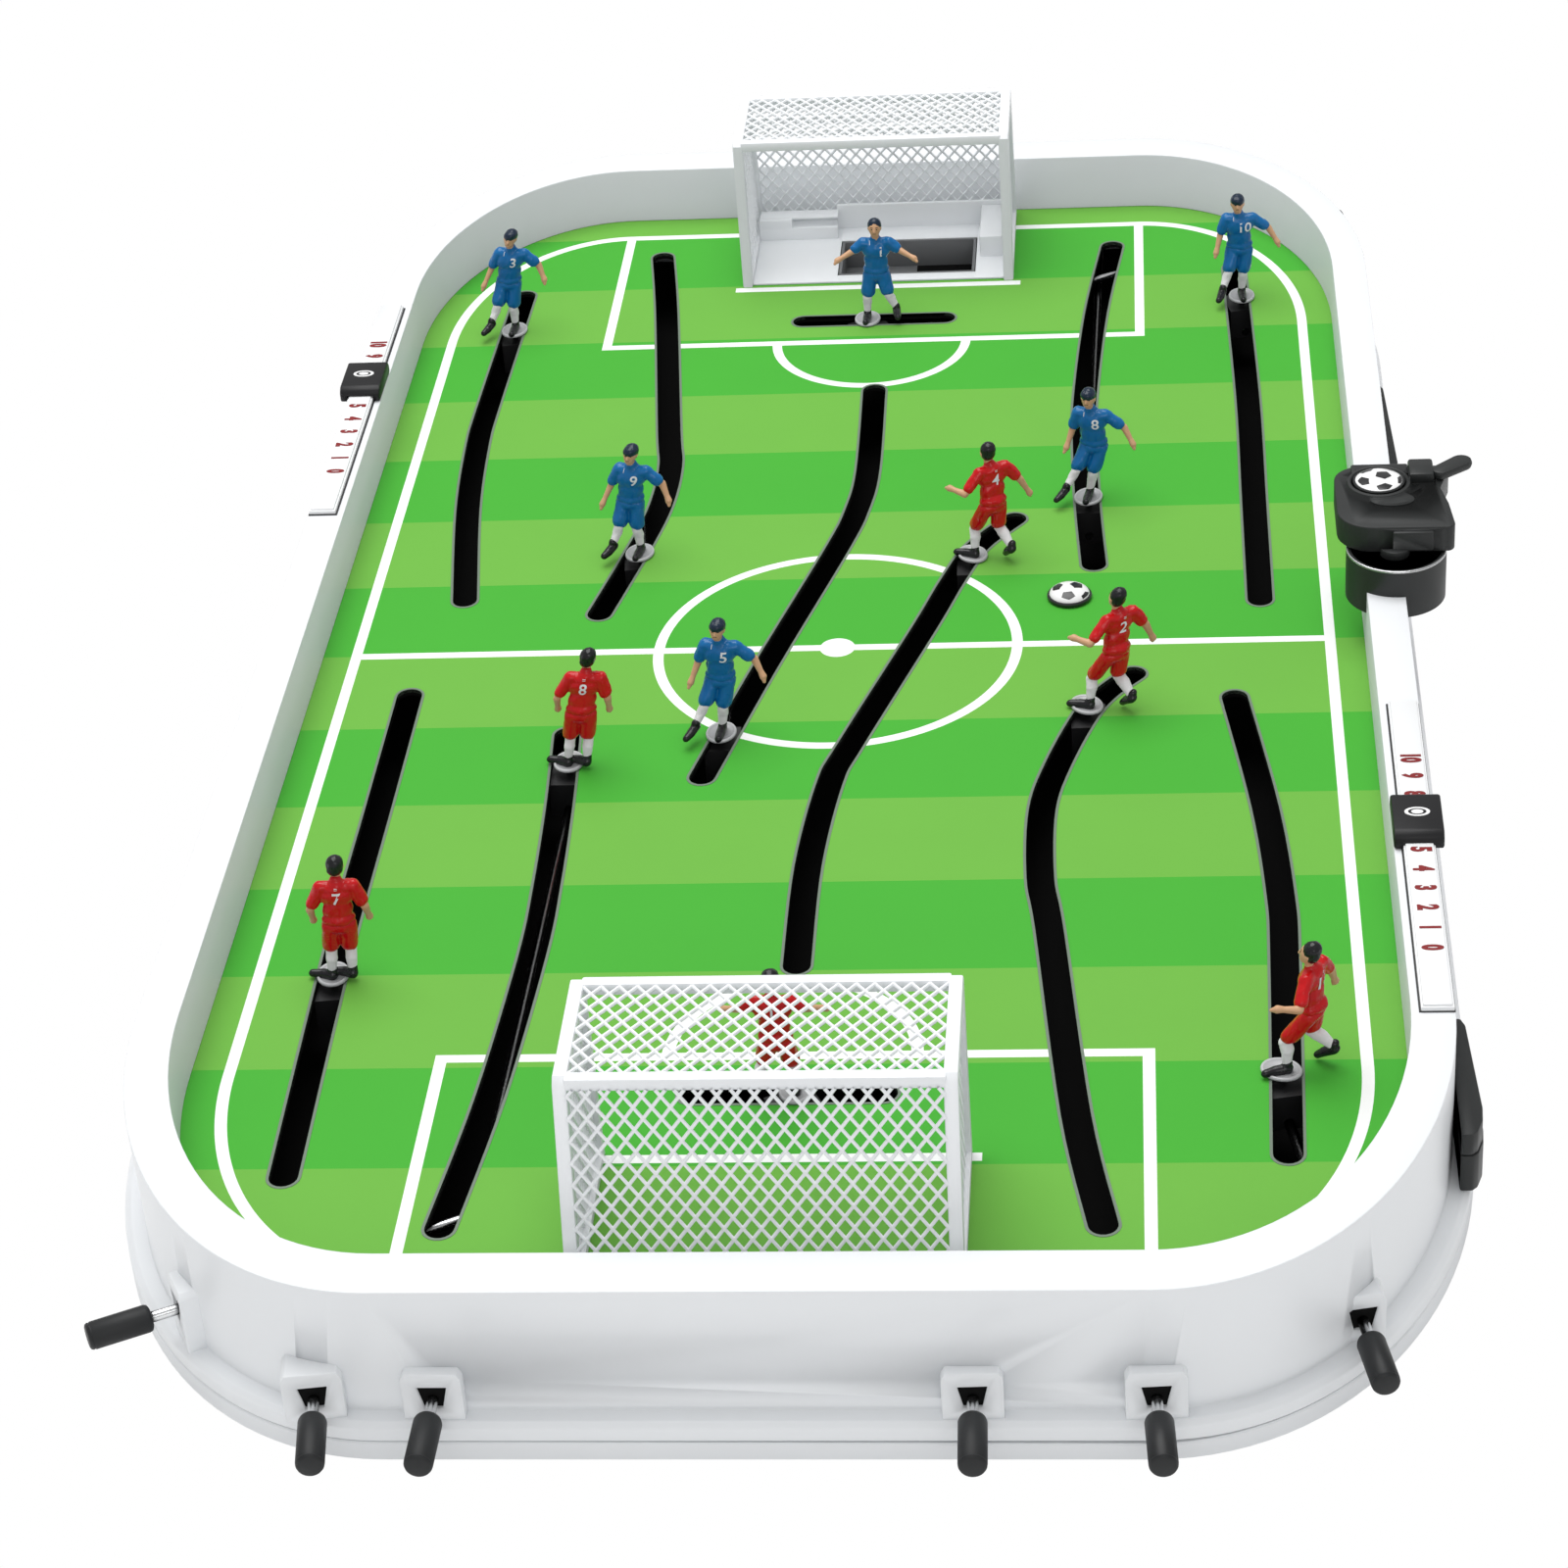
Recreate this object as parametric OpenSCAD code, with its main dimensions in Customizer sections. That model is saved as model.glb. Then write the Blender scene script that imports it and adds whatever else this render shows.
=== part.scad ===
// Table-top football game worked by rods: two teams of six figures run in slots in a
// pitch board, each on a carriage that a steel rod pushes, pulls and turns from its own end.
// X runs across the pitch, Y along it towards the blue goal, Z up from the supporting surface.

/* [Pitch] */
// Distance between the two touch lines
pitch_w = 420; // [360:1:510]
// Distance between the two goal lines
pitch_l = 830; // [700:1:1000]
// Green margin between a touch line and the side wall
margin_side = 15; // [10:1:25]
// Green margin between a goal line and the end wall
margin_end = 18; // [12:1:30]
// Thickness of the pitch board
board_t = 3; // [2:0.5:4]
// Width of the slots that the figures run in
slot_w = 10.5; // [10:0.5:14]

/* [Body] */
// Width of the corner curve of the inner wall
corner_w = 94; // [70:1:110]
// Length of the corner curve of the inner wall
corner_l = 136; // [110:1:160]
// Width of the rim along the sides
rim_side = 16; // [14:0.5:20]
// Width of the rim at the ends
rim_end = 20.5; // [18:0.5:26]
// Height of the rim above the pitch
rim_h = 29; // [24:0.5:36]
// How far the lower flange stands out from the rim
flange_out = 8; // [6:0.5:10]
// Height of the seam between base tray and housing
seam_z = 16.5; // [15:0.5:18]
// Height of the top of the flange
flange_z = 23.5; // [22:0.5:25]
// Height of the playing surface
pitch_z = 47; // [46:0.5:50]
// Wall thickness of the moulded shells
wall = 2.5; // [2:0.1:3]
// Height that the base tray's skirt stands off the floor
foot_h = 8; // [6:0.5:9]

/* [Rods] */
// Diameter of the steel rods
rod_d = 4; // [3.5:0.1:4.5]
// Height of the outfield rods
rod_z = 31.5; // [30:0.5:32]
// Height of the goalkeepers' rods, which cross over the others
goalie_rod_z = 37.5; // [37:0.1:38]
// Diameter of the hand grips
grip_d = 10; // [8:0.5:13]
// Length of the hand grips
grip_l = 23; // [20:1:60]
// Gap between a grip and the wall boss when a rod is pushed home
grip_gap = 9; // [5:0.5:12]
// Radial clearance of the rods in their guides and bearings
rod_fit = 0.06; // [0.03:0.01:0.1]
// Diameter of the peg that carries a figure through its slot
peg_d = 3; // [2.5:0.1:4]

/* [Goals] */
// Outside width of a goal
goal_w = 137; // [120:1:150]
// Height of a goal above the pitch
goal_h = 79; // [70:1:90]
// Depth of a goal along its top
goal_top_l = 59; // [50:1:62]
// Distance from the goal line plane to the foot of a goal's back
goal_floor_l = 79; // [76:1:80]
// Thickness of the goal posts and bars
post_t = 5; // [4:0.5:6]
// Width of one diamond of the net
net_cell = 13; // [10:0.5:16]

/* [Score and ball] */
// Length of a score rail
score_l = 204; // [180:1:230]
// Width of a score rail
score_w = 12; // [10:0.5:13]
// Height of a score rail
score_t = 3; // [2.5:0.5:4]
// Length of a score slider
slider_l = 30; // [24:1:36]
// Diameter of the flat ball
ball_d = 19.5; // [16:0.5:24]
// Thickness of the flat ball
ball_t = 6; // [4:0.5:8]
// Outer diameter of the ball dispenser's cup
cup_d = 42; // [36:1:46]
// Height of the ball dispenser's cup
cup_h = 22; // [20:1:28]

/* [Hidden] */
$fn = 32;

// Plan of the moulded body: half sizes of the inner wall, measured from the pitch centre.
in_x = pitch_w / 2 + margin_side;
in_y = pitch_l / 2 + margin_end;
rim_z = pitch_z + rim_h;
board_z = pitch_z - board_t;
board_lap = 5;
fit = 0.3;

// The slots, rods and figures are laid out on a pitch of this size and follow the real one.
PLAN_W = 420;
PLAN_L = 830;
function on_pitch(p) = [p[0] * pitch_w / PLAN_W, p[1] * pitch_l / PLAN_L];

// Slot centre lines seen from a team's own end, which is at -Y, with its left wing at -X.
LEFT_WING_SLOT = [[-179, -357], [-182, -220], [-182, -33]];
LEFT_MID_SLOT = [[-118, -386], [-110, -311], [-105.2, -223], [-105.2, -175], [-107, -118], [-110, -66]];
RED_CENTRE_SLOT = [[-2, -232], [-2, -165], [3, -106], [10, -77], [37, 15], [48, 55], [58, 84], [74, 108]];
BLUE_CENTRE_SLOT = [[-4, -236], [-5, -157], [-2, -120], [5, -85], [30, 14], [50, 100]];
RED_RIGHT_MID_SLOT = [[115, -386], [105, -324], [94, -210], [90, -175], [90, -128], [96, -95],
    [107, -58], [116, -40], [127, -26]];
BLUE_RIGHT_MID_SLOT = [[113, -388], [105, -324], [92, -200], [88, -165], [89, -128], [95, -90], [107, -32]];
RIGHT_WING_SLOT = [[180, -348], [183, -230], [183, -190], [179, -128], [169, -46]];
GOALIE_SLOT = [[-35, -311], [35, -311]];

// One player: [slot, peg at rest, swivel point of the rod in the wall, reach of the wall boss
// beyond the swivel point, heading of the figure, shirt, stance].
RUN = 0;
STAND = 1;
KEEP = 2;
KICK = 3;
red_left_wing = [LEFT_WING_SLOT, [-181, -236], [-154, -447], 11, 96, "red", STAND];
red_left_mid = [LEFT_MID_SLOT, [-106.5, -89], [-111.5, -447], 11, 88, "red", STAND];
red_centre = [RED_CENTRE_SLOT, [56.5, 75], [71, -447], 11, 120, "red", RUN];
red_right_mid = [RED_RIGHT_MID_SLOT, [108, -52], [132, -447], 11, 125, "red", RUN];
red_right_wing = [RIGHT_WING_SLOT, [180, -301], [201, -410], 9.5, 155, "red", RUN];
red_goalie = [GOALIE_SLOT, [3, -311], [-199, -413], 9.5, 90, "red", KEEP];
blue_left_wing = [LEFT_WING_SLOT, [-182, -325], [-154, -447], 11, 90, "blue", KICK];
blue_left_mid = [LEFT_MID_SLOT, [-107.5, -126], [-111.5, -447], 11, 75, "blue", KICK];
blue_centre = [BLUE_CENTRE_SLOT, [44.5, 67], [71, -447], 11, 80, "blue", KICK];
blue_right_mid = [BLUE_RIGHT_MID_SLOT, [94, -84], [132, -447], 11, 75, "blue", KICK];
blue_right_wing = [RIGHT_WING_SLOT, [180, -309], [201, -410], 9.5, 80, "blue", KICK];
blue_goalie = [GOALIE_SLOT, [3, -311], [-199, -413], 9.5, 90, "blue", KEEP];
TEAMS = [
    [red_left_wing, red_left_mid, red_centre, red_right_mid, red_right_wing, red_goalie],
    [blue_left_wing, blue_left_mid, blue_centre, blue_right_mid, blue_right_wing, blue_goalie]
];
function peg(p) = on_pitch(p[1]);
function swivel(p) = [p[2][0] * in_x / 225, p[2][1] * in_y / 433];
function boss_reach(p) = p[3];
function boss_w(p) = abs(p[2][0]) > 160 ? CORNER_BOSS_W : BOSS_W;
function is_goalie(p) = p[6] == KEEP;
function boss_top(p) = BOSS_TOP + (is_goalie(p) ? 6 : 0);
function rod_height(p) = is_goalie(p) ? goalie_rod_z : rod_z;
function run(p) = swivel(p) - peg(p);
function rod_angle(p) = atan2(run(p)[1], run(p)[0]) + 90;
function team_turn(p) = p[5] == "blue" ? 180 : 0;

// Mechanism sizes
BARREL_D = 9;
BARREL_H = 8;
PIN_D = 3;
PINION_T = 3;
PINION_D = 7.4;
GOALIE_PINION_D = 5.2;
CROWN_FACE = 3.6;
CROWN_T = 1.6;
GEAR_GAP = 0.2;
CARRIAGE_W = 15;
CARRIAGE_BACK = 10;
CARRIAGE_FRONT = 8;
HUB_D = 4.8;
HUB_FRONT = 6.2;
HUB_BACK = 7.2;
RUN_GAP = 0.4;
BOSS_W = 21;
CORNER_BOSS_W = 16;
BOSS_TOP = 43;
WINDOW_W = 10.5;
WINDOW_FOOT = 6.5;
WINDOW_H = 9;
SWING_W = 16;

function pinion_d(p) = is_goalie(p) ? GOALIE_PINION_D : PINION_D;
function crown_d(p) = pinion_d(p) + CROWN_FACE;
function pinion_back(p) = (pinion_d(p) + PINION_T) / 2;
function crown_z(p) = rod_height(p) + pinion_d(p) / 2 + GEAR_GAP;

// ---- plan outlines -------------------------------------------------------------------

// A rectangle of half sizes hx, hy whose corners are quarter ellipses rx by ry
function outline_points(hx, hy, rx, ry, steps = 9) = [
    for (q = [0:3], i = [0:steps])
        let (a = (q + i / steps) * 90, sx = (q == 0 || q == 3) ? 1 : -1, sy = q < 2 ? 1 : -1)
        [sx * (hx - rx) + rx * cos(a), sy * (hy - ry) + ry * sin(a)]
];

// The inner wall's outline grown by dx at the sides and dy at the ends
module plan(dx, dy)
    polygon(outline_points(in_x + dx, in_y + dy, corner_w + dx, corner_l + dy));

// A band of the body's plan between two offsets, from z0 up to z1
module band(z0, z1, out_x, out_y, in_dx, in_dy)
    translate([0, 0, z0])
        linear_extrude(z1 - z0)
            difference() {
                plan(out_x, out_y);
                plan(in_dx, in_dy);
            }

// Unit normal of a slot's centre line at point i
function tangent(c, i) =
    let (a = c[max(i - 1, 0)], b = c[min(i + 1, len(c) - 1)], v = b - a) v / norm(v);
function side(c, i, w) = let (t = tangent(c, i)) c[i] + [-t[1], t[0]] * w / 2;
// A slot's outline: one side, a round end, the other side, a round end
function round_end(c, i, w, sign, steps = 8) =
    let (t = tangent(c, i) * sign, a0 = atan2(t[1], t[0]))
    [for (k = [1:steps - 1]) c[i] + w / 2 * [cos(a0 + 90 - 180 * k / steps), sin(a0 + 90 - 180 * k / steps)]];
function slot_points(c, w) = concat(
    [for (i = [0:len(c) - 1]) side(c, i, w)],
    round_end(c, len(c) - 1, w, 1),
    [for (i = [len(c) - 1:-1:0]) side(c, i, -w)],
    round_end(c, 0, w, -1)
);

module slot(c) polygon(slot_points([for (p = c) on_pitch(p)], slot_w));

// ---- places --------------------------------------------------------------------------

// A team's own frame: red as drawn, blue turned half round
module team(p) rotate([0, 0, team_turn(p)]) children();

// Axes at a player's peg, with -Y pointing out along the rod
module at_peg(p) team(p) translate(peg(p)) rotate([0, 0, rod_angle(p)]) children();

// Axes at the point in the wall that a player's rod swings about
module at_swivel(p) team(p) translate(swivel(p)) rotate([0, 0, rod_angle(p)]) children();

module each_player() for (t = TEAMS, p = t) at_swivel(p) each_part(p);

// ---- body ----------------------------------------------------------------------------

// The wall boss that a rod comes out of
module boss(p) {
    at_swivel(p)
        translate([-boss_w(p) / 2, -boss_reach(p), flange_z - 1])
            cube([boss_w(p), boss_reach(p) - 0.7, boss_top(p) - flange_z + 1]);
}

// The tapered window in a boss, and the room behind it for the guide and the swinging rod
module boss_room(p) {
    z = rod_height(p);
    at_swivel(p) {
        translate([0, -boss_reach(p) + 3, z - WINDOW_H / 3])
            rotate([90, 0, 0])
                linear_extrude(6)
                    polygon([[-WINDOW_FOOT / 2, 0], [WINDOW_FOOT / 2, 0],
                        [WINDOW_W / 2, WINDOW_H], [-WINDOW_W / 2, WINDOW_H]]);
        translate([2 - boss_w(p) / 2, 2 - boss_reach(p), flange_z - wall - 0.7])
            cube([boss_w(p) - 4, boss_reach(p) + 8, boss_top(p) - flange_z + 1.1]);
    }
}

module rim_housing() color("white") {
    difference() {
        union() {
            band(rim_z - wall, rim_z, rim_side, rim_end, 0, 0);
            band(pitch_z, rim_z - wall, wall, wall, 0, 0);
            band(flange_z - wall, rim_z - wall, rim_side, rim_end, rim_side - wall, rim_end - wall);
            band(flange_z - wall, flange_z, rim_side + flange_out, rim_end + flange_out,
                rim_side - wall, rim_end - wall);
            band(seam_z, flange_z - wall, rim_side + flange_out, rim_end + flange_out,
                rim_side + flange_out - wall, rim_end + flange_out - wall);
            for (t = TEAMS, p = t)
                boss(p);
        }
        for (t = TEAMS, p = t)
            boss_room(p);
    }
}

// Places of the feet as shares of the body's half width and half length
FEET = [[0.75, -0.86], [0.87, 0], [0.75, 0.86]];
FOOT_D = 26;

// Tray that the housing stands on: floor, skirt, wall under the board's edge, guide posts and feet
module base_tray() color("gainsboro") {
    difference() {
        union() {
            translate([0, 0, foot_h])
                linear_extrude(wall)
                    plan(rim_side + flange_out - 1, rim_end + flange_out - 1);
            band(foot_h - 0.5, seam_z, rim_side + flange_out, rim_end + flange_out,
                rim_side + flange_out - wall, rim_end + flange_out - wall);
            cylinder(d = 40, h = foot_h + 1);
            for (x = [-1, 1], f = FEET)
                translate([x * f[0] * in_x, f[1] * in_y, 0])
                    cylinder(d = FOOT_D, h = foot_h + 1);
            band(foot_h + 1, board_z, board_lap, board_lap, board_lap - wall, board_lap - wall);
        }
        for (t = TEAMS, p = t)
            at_swivel(p)
                translate([-SWING_W / 2, -boss_reach(p), rod_height(p) - BARREL_H / 2 - 1])
                    cube([SWING_W, 40 + boss_reach(p), BARREL_H + 20]);
    }
    for (t = TEAMS, p = t)
        if (has_guide(p))
            guide_post(p);
}

function has_guide(p) = p[0] != LEFT_MID_SLOT;

module guide_post(p) {
    top = rod_height(p) - BARREL_H / 2 - fit;
    at_swivel(p)
        difference() {
            translate([0, 0, foot_h + 1])
                cylinder(d = BARREL_D, h = top - foot_h - 1);
            translate([0, 0, top - 5])
                cylinder(d = PIN_D + 2 * rod_fit, h = 6);
        }
}

module pitch_board() color("limegreen") {
    translate([0, 0, board_z])
        linear_extrude(board_t)
            difference() {
                plan(board_lap, board_lap);
                for (t = TEAMS, p = t)
                    rotate(team_turn(p))
                        slot(p[0]);
                translate([POCKET_X - POCKET_W / 2, pocket_y()])
                    square([POCKET_W, POCKET_L]);
            }
}

// Dark clips on the long sides that lock the housing onto the tray
// Each clip's middle along the right side, its length and its thickness at the thin end
CLIPS = [[175, 97, 5], [-307, 68, 6.5]];
CLIP_SWELL = 2.5;
CLIP_H = 26;

module clip(length, t)
    translate([0, 0, flange_z + fit])
        linear_extrude(CLIP_H)
            polygon([[0, length / 2], [t - 1.5, length / 2], [t, length / 2 - 4], [t + CLIP_SWELL, -length * 0.27],
                [t + CLIP_SWELL - 0.5, -length * 0.38], [t, 2 - length / 2], [t - 2, -length / 2], [0, -length / 2]]);

module side_clips() color("dimgray") {
    for (turn = [0, 180], c = CLIPS)
        rotate([0, 0, turn])
            translate([in_x + rim_side, c[0] * in_y / 433, 0])
                clip(c[1], c[2]);
}

// ---- goals ---------------------------------------------------------------------------

POCKET_W = 70;
POCKET_L = 40;
POCKET_X = 14;
POCKET_H = 15;
NET_T = 1.2;
FLOOR_T = 1;
function goal_y() = in_y - goal_floor_l - 3;
function pocket_y() = goal_y() + 9;
NET_BAR = 2.2;

// A sheet w by h with rows of diamond holes
module net(w, h) {
    cols = floor(w / net_cell);
    rows = floor(h / net_cell);
    linear_extrude(NET_T)
        difference() {
            square([w, h]);
            for (i = [0:cols - 1], j = [0:rows - 1])
                translate([w / 2 + (i - (cols - 1) / 2) * net_cell, h / 2 + (j - (rows - 1) / 2) * net_cell])
                    rotate(45)
                        square((net_cell - NET_BAR) / sqrt(2), center = true);
        }
}

// Flat side frame of a goal in the plane of depth and height
module goal_side() {
    back = goal_floor_l;
    difference() {
        polygon([[0, 0], [back, 0], [goal_top_l, goal_h], [0, goal_h]]);
        polygon([[post_t, post_t], [back - post_t * 1.4, post_t], [goal_top_l - post_t, goal_h - post_t],
            [post_t, goal_h - post_t]]);
    }
}

// A goal seen from its own end: mouth towards the pitch, back against the wall
module goal(has_pocket) {
    back_run = goal_floor_l - goal_top_l;
    back_h = norm([back_run, goal_h]);
    back_lean = atan2(back_run, goal_h);
    inner_w = goal_w - 2 * post_t;
    translate([0, goal_y(), pitch_z]) {
        for (s = [-1, 1])
            translate([s * (goal_w - post_t) / 2 - post_t / 2, 0, 0]) {
                rotate([90, 0, 90])
                    linear_extrude(post_t)
                        goal_side();
                translate([post_t / 2 - NET_T / 2, post_t, post_t])
                    rotate([90, 0, 90])
                        net(goal_top_l - 2 * post_t, goal_h - 2 * post_t);
            }
        translate([-inner_w / 2, 0, goal_h - post_t])
            cube([inner_w, post_t, post_t]);
        translate([-inner_w / 2, goal_top_l - post_t, goal_h - post_t])
            cube([inner_w, post_t, post_t]);
        translate([-inner_w / 2, post_t, goal_h - NET_T])
            net(inner_w, goal_top_l - 2 * post_t);
        translate([-inner_w / 2, goal_floor_l, NET_T * sin(back_lean)])
            rotate([90 + back_lean, 0, 0])
                net(inner_w, back_h - post_t);
        translate([-inner_w / 2, goal_floor_l - 4, 0])
            cube([inner_w, 3.5, 3]);
        // Floor with the ball pocket hanging through the board
        if (has_pocket) difference() {
            union() {
                translate([-inner_w / 2, 2, 0])
                    cube([inner_w, goal_floor_l - 2, FLOOR_T]);
                translate([POCKET_X - POCKET_W / 2 + fit, 9 + fit, -POCKET_H])
                    cube([POCKET_W - 2 * fit, POCKET_L - 2 * fit, POCKET_H + FLOOR_T / 2]);
            }
            translate([POCKET_X - POCKET_W / 2 + fit + 1.5, 9 + fit + 1.5, 1.5 - POCKET_H])
                cube([POCKET_W - 2 * fit - 3, POCKET_L - 2 * fit - 3, POCKET_H + 5]);
        }
    }
}

// The near goal stands a little further in than the far one
NEAR_GOAL_IN = 6.5;
module near_goal() color("white") rotate([0, 0, 180]) translate([0, -NEAR_GOAL_IN, 0]) goal(false);
module far_goal() color("white") goal(true);

// ---- score rails, sliders and dispenser ------------------------------------------------

// Middle of the left and of the right rail along the body
SCORE_Y = [177, 202];
RAIL_LIP = 1;
SLIDER_W = 19;
SLIDER_H = 7;
function rail_x() = in_x + rim_side / 2 + 1.5;
function score_y(i) = SCORE_Y[i] * in_y / 433;

module score_rails() color("whitesmoke") {
    for (i = [0, 1])
        rotate([0, 0, i * 180])
            translate([-rail_x() - score_w / 2, score_y(i) - score_l / 2, rim_z]) {
                cube([score_w, score_l, score_t - RAIL_LIP]);
                translate([1, 1, 0])
                    cube([score_w - 2, score_l - 2, score_t]);
            }
}

// A slider that bridges its score rail and runs on the rim
module score_slider(y) {
    translate([-rail_x(), y, rim_z + fit])
        difference() {
            rotate([90, 0, 90])
                translate([0, 0, -SLIDER_W / 2])
                    linear_extrude(SLIDER_W)
                        polygon([[-slider_l / 2, 0], [slider_l / 2, 0], [slider_l / 2, SLIDER_H - 3],
                            [slider_l / 2 - 3, SLIDER_H], [3 - slider_l / 2, SLIDER_H], [-slider_l / 2, SLIDER_H - 3]]);
            translate([-score_w / 2 - fit, -slider_l, -1])
                cube([score_w + 2 * fit, 2 * slider_l, score_t + 1]);
        }
}

module left_score_slider() color("black") score_slider(score_y(0) + 20);
module right_score_slider() color("black") rotate([0, 0, 180]) score_slider(score_y(1) - 15);

CUP_WALL = 1.8;
CUP_SINK = 10;
CUP_FLOOR = 2;
LID_W = 49;
LID_L = 54;
LID_H = 12;
LID_FRONT = -2;
HINGE_D = 5;
HINGE_PIN_D = 2.4;
function cup_x() = in_x + rim_side / 2 + 5;
function cup_z() = rim_z - CUP_SINK;
function cup_top() = cup_z() + cup_h;
function lid_z() = cup_top() + 1.2;
function hinge_y() = LID_FRONT + LID_L - 2;
function hinge_z() = lid_z() - 0.2;

// Cup that straddles the rim at the halfway line, with an arm behind it for the lid's hinge
module dispenser_cup() color("dimgray") {
    translate([cup_x(), 5, 0])
        difference() {
            union() {
                translate([0, 0, cup_z()])
                    cylinder(d = cup_d, h = cup_h, $fn = 64);
                translate([-10, 0, rim_z])
                    cube([20, hinge_y() - 5 - HINGE_D / 2 - 1, cup_top() - rim_z - 1]);
                for (s = [-1, 1])
                    translate([s * 8 - 2, hinge_y() - 14, rim_z])
                        cube([4, 9, hinge_z() - rim_z]);
                for (s = [-1, 1])
                    translate([s * 8 - 2, hinge_y() - 5, hinge_z()])
                        rotate([0, 90, 0])
                            cylinder(d = HINGE_D, h = 4);
            }
            translate([0, 0, rim_z + CUP_FLOOR])
                cylinder(d = cup_d - 2 * CUP_WALL, h = cup_h, $fn = 64);
            translate([in_x - cup_x(), -cup_d, cup_z() - 1])
                cube([rim_side, 2 * cup_d, CUP_SINK + 1]);
            translate([-30, hinge_y() - 5, hinge_z()])
                rotate([0, 90, 0])
                    cylinder(d = HINGE_PIN_D + 2 * rod_fit, h = 60);
        }
}

// Hinged lid over the back of the cup, carrying the button's socket and the lever's pin
module dispenser_lid() color("dimgray") {
    translate([cup_x(), 5, 0]) {
        difference() {
            translate([0, LID_FRONT - 5, lid_z()])
                linear_extrude(LID_H)
                    translate([0, LID_L / 2])
                        polygon(outline_points(LID_W / 2, LID_L / 2, 13, 13, 5));
            translate([0, LID_FRONT - 5 + LID_L / 2, lid_z() - 1])
                linear_extrude(LID_H - 1)
                    polygon(outline_points(LID_W / 2 - 2, LID_L / 2 - 2, 11, 11, 5));
            translate(concat(BUTTON_AT, lid_z() + LID_H - 5))
                cylinder(d = BUTTON_STEM + 0.4, h = 6);
            for (s = [-1, 1])
                translate([s * 8 - 3, hinge_y() - 18, lid_z() - 2])
                    cube([6, 24, HINGE_D + 5]);
        }
        translate([-14, hinge_y() - 5, hinge_z()])
            rotate([0, 90, 0])
                cylinder(d = HINGE_PIN_D, h = 28);
        for (x = [-14, -4, 11])
            translate([x, hinge_y() - 7, hinge_z() - 1.6])
                cube([x == -4 ? 8 : 3, 4, LID_H - 1]);
        translate([7, 31, lid_z() + LID_H - 0.5])
            cube([9, 14, 5]);
        translate(concat(LEVER_AT, lid_z() + LID_H - 0.5))
            cylinder(d = LEVER_PIN_D, h = LEVER_T + 1.5);
    }
}

BUTTON_AT = [-6, 29];
BUTTON_D = 22;
BUTTON_T = 3;
BUTTON_STEM = 10;
BUTTON_TRAVEL = 2;
LEVER_AT = [20.5, 36];
LEVER_W = 8;
LEVER_L = 12;
LEVER_T = 4;
LEVER_DIRECTION = 40;
LEVER_PIN_D = 3;

// Press button with a football printed on its cap
module dispenser_button() color("white") {
    translate([cup_x(), 5, lid_z() + LID_H + BUTTON_TRAVEL + fit] + concat(BUTTON_AT, 0)) {
        cylinder(d = BUTTON_D, h = BUTTON_T);
        translate([0, 0, -6])
            cylinder(d = BUTTON_STEM, h = 6);
    }
}

// Thumb lever that turns on a pin at the lid's rear corner
module dispenser_lever() color("dimgray") {
    translate([cup_x(), 5, lid_z() + LID_H + fit] + concat(LEVER_AT, 0))
        rotate([0, 0, LEVER_DIRECTION])
            difference() {
                linear_extrude(LEVER_T)
                    polygon(capsule_points(LEVER_L, LEVER_W));
                translate([0, 0, -1])
                    cylinder(d = LEVER_PIN_D + 2 * rod_fit, h = LEVER_T + 2);
            }
}

// Outline of a bar with round ends, its first end centred on the origin
function capsule_points(length, width) = concat(
    [for (i = [0:8]) width / 2 * [cos(90 + i * 22.5), sin(90 + i * 22.5)]],
    [for (i = [0:8]) [length, 0] + width / 2 * [cos(i * 22.5 - 90), sin(i * 22.5 - 90)]]
);

// Flat ball, a low dome on a rounded disc, lying on the pitch
module ball() color("white") {
    translate(concat(on_pitch([99.5, 38]), pitch_z))
        rotate_extrude($fn = 48)
            polygon([[0, 0], [ball_d / 2 - 0.8, 0], [ball_d / 2, 0.8], [ball_d / 2, ball_t * 0.35],
                for (a = [15:15:75]) [(ball_d / 2) * cos(a), ball_t * (0.35 + 0.65 * sin(a))], [0, ball_t]]);
}

// ---- players ---------------------------------------------------------------------------

// Swivelling barrel behind a wall window that the rod slides and turns in
module guide(p) color("black") {
    z = rod_height(p);
    at_swivel(p)
        difference() {
            union() {
                translate([0, 0, z - BARREL_H / 2])
                    cylinder(d = BARREL_D, h = BARREL_H);
                translate([0, 0, z - BARREL_H / 2 - 4])
                    cylinder(d = PIN_D, h = 5);
            }
            translate([0, BARREL_D, z])
                rotate([90, 0, 0])
                    cylinder(d = rod_d + 2 * rod_fit, h = 2 * BARREL_D);
        }
}

// Carriage under the board: bearings for the rod and for the figure's peg
module carriage(p) color("black") {
    z = rod_height(p);
    bottom = z - rod_d / 2 - 0.8;
    top = board_z - RUN_GAP;
    roof = crown_z(p) + CROWN_T + GEAR_GAP;
    at_peg(p)
        difference() {
            translate([-CARRIAGE_W / 2, -CARRIAGE_BACK, bottom])
                cube([CARRIAGE_W, CARRIAGE_BACK + CARRIAGE_FRONT, top - bottom]);
            translate([-CARRIAGE_W / 2 + 1.5, -CARRIAGE_BACK + 2.5, bottom - 1])
                cube([CARRIAGE_W - 3, CARRIAGE_BACK + CARRIAGE_FRONT - 4, roof - bottom + 1]);
            translate([0, 20, z])
                rotate([90, 0, 0])
                    cylinder(d = rod_d + 2 * rod_fit, h = 40);
            translate([0, 0, z])
                cylinder(d = peg_d + 2 * rod_fit, h = 20);
        }
}

GEAR_TEETH = 10;

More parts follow.
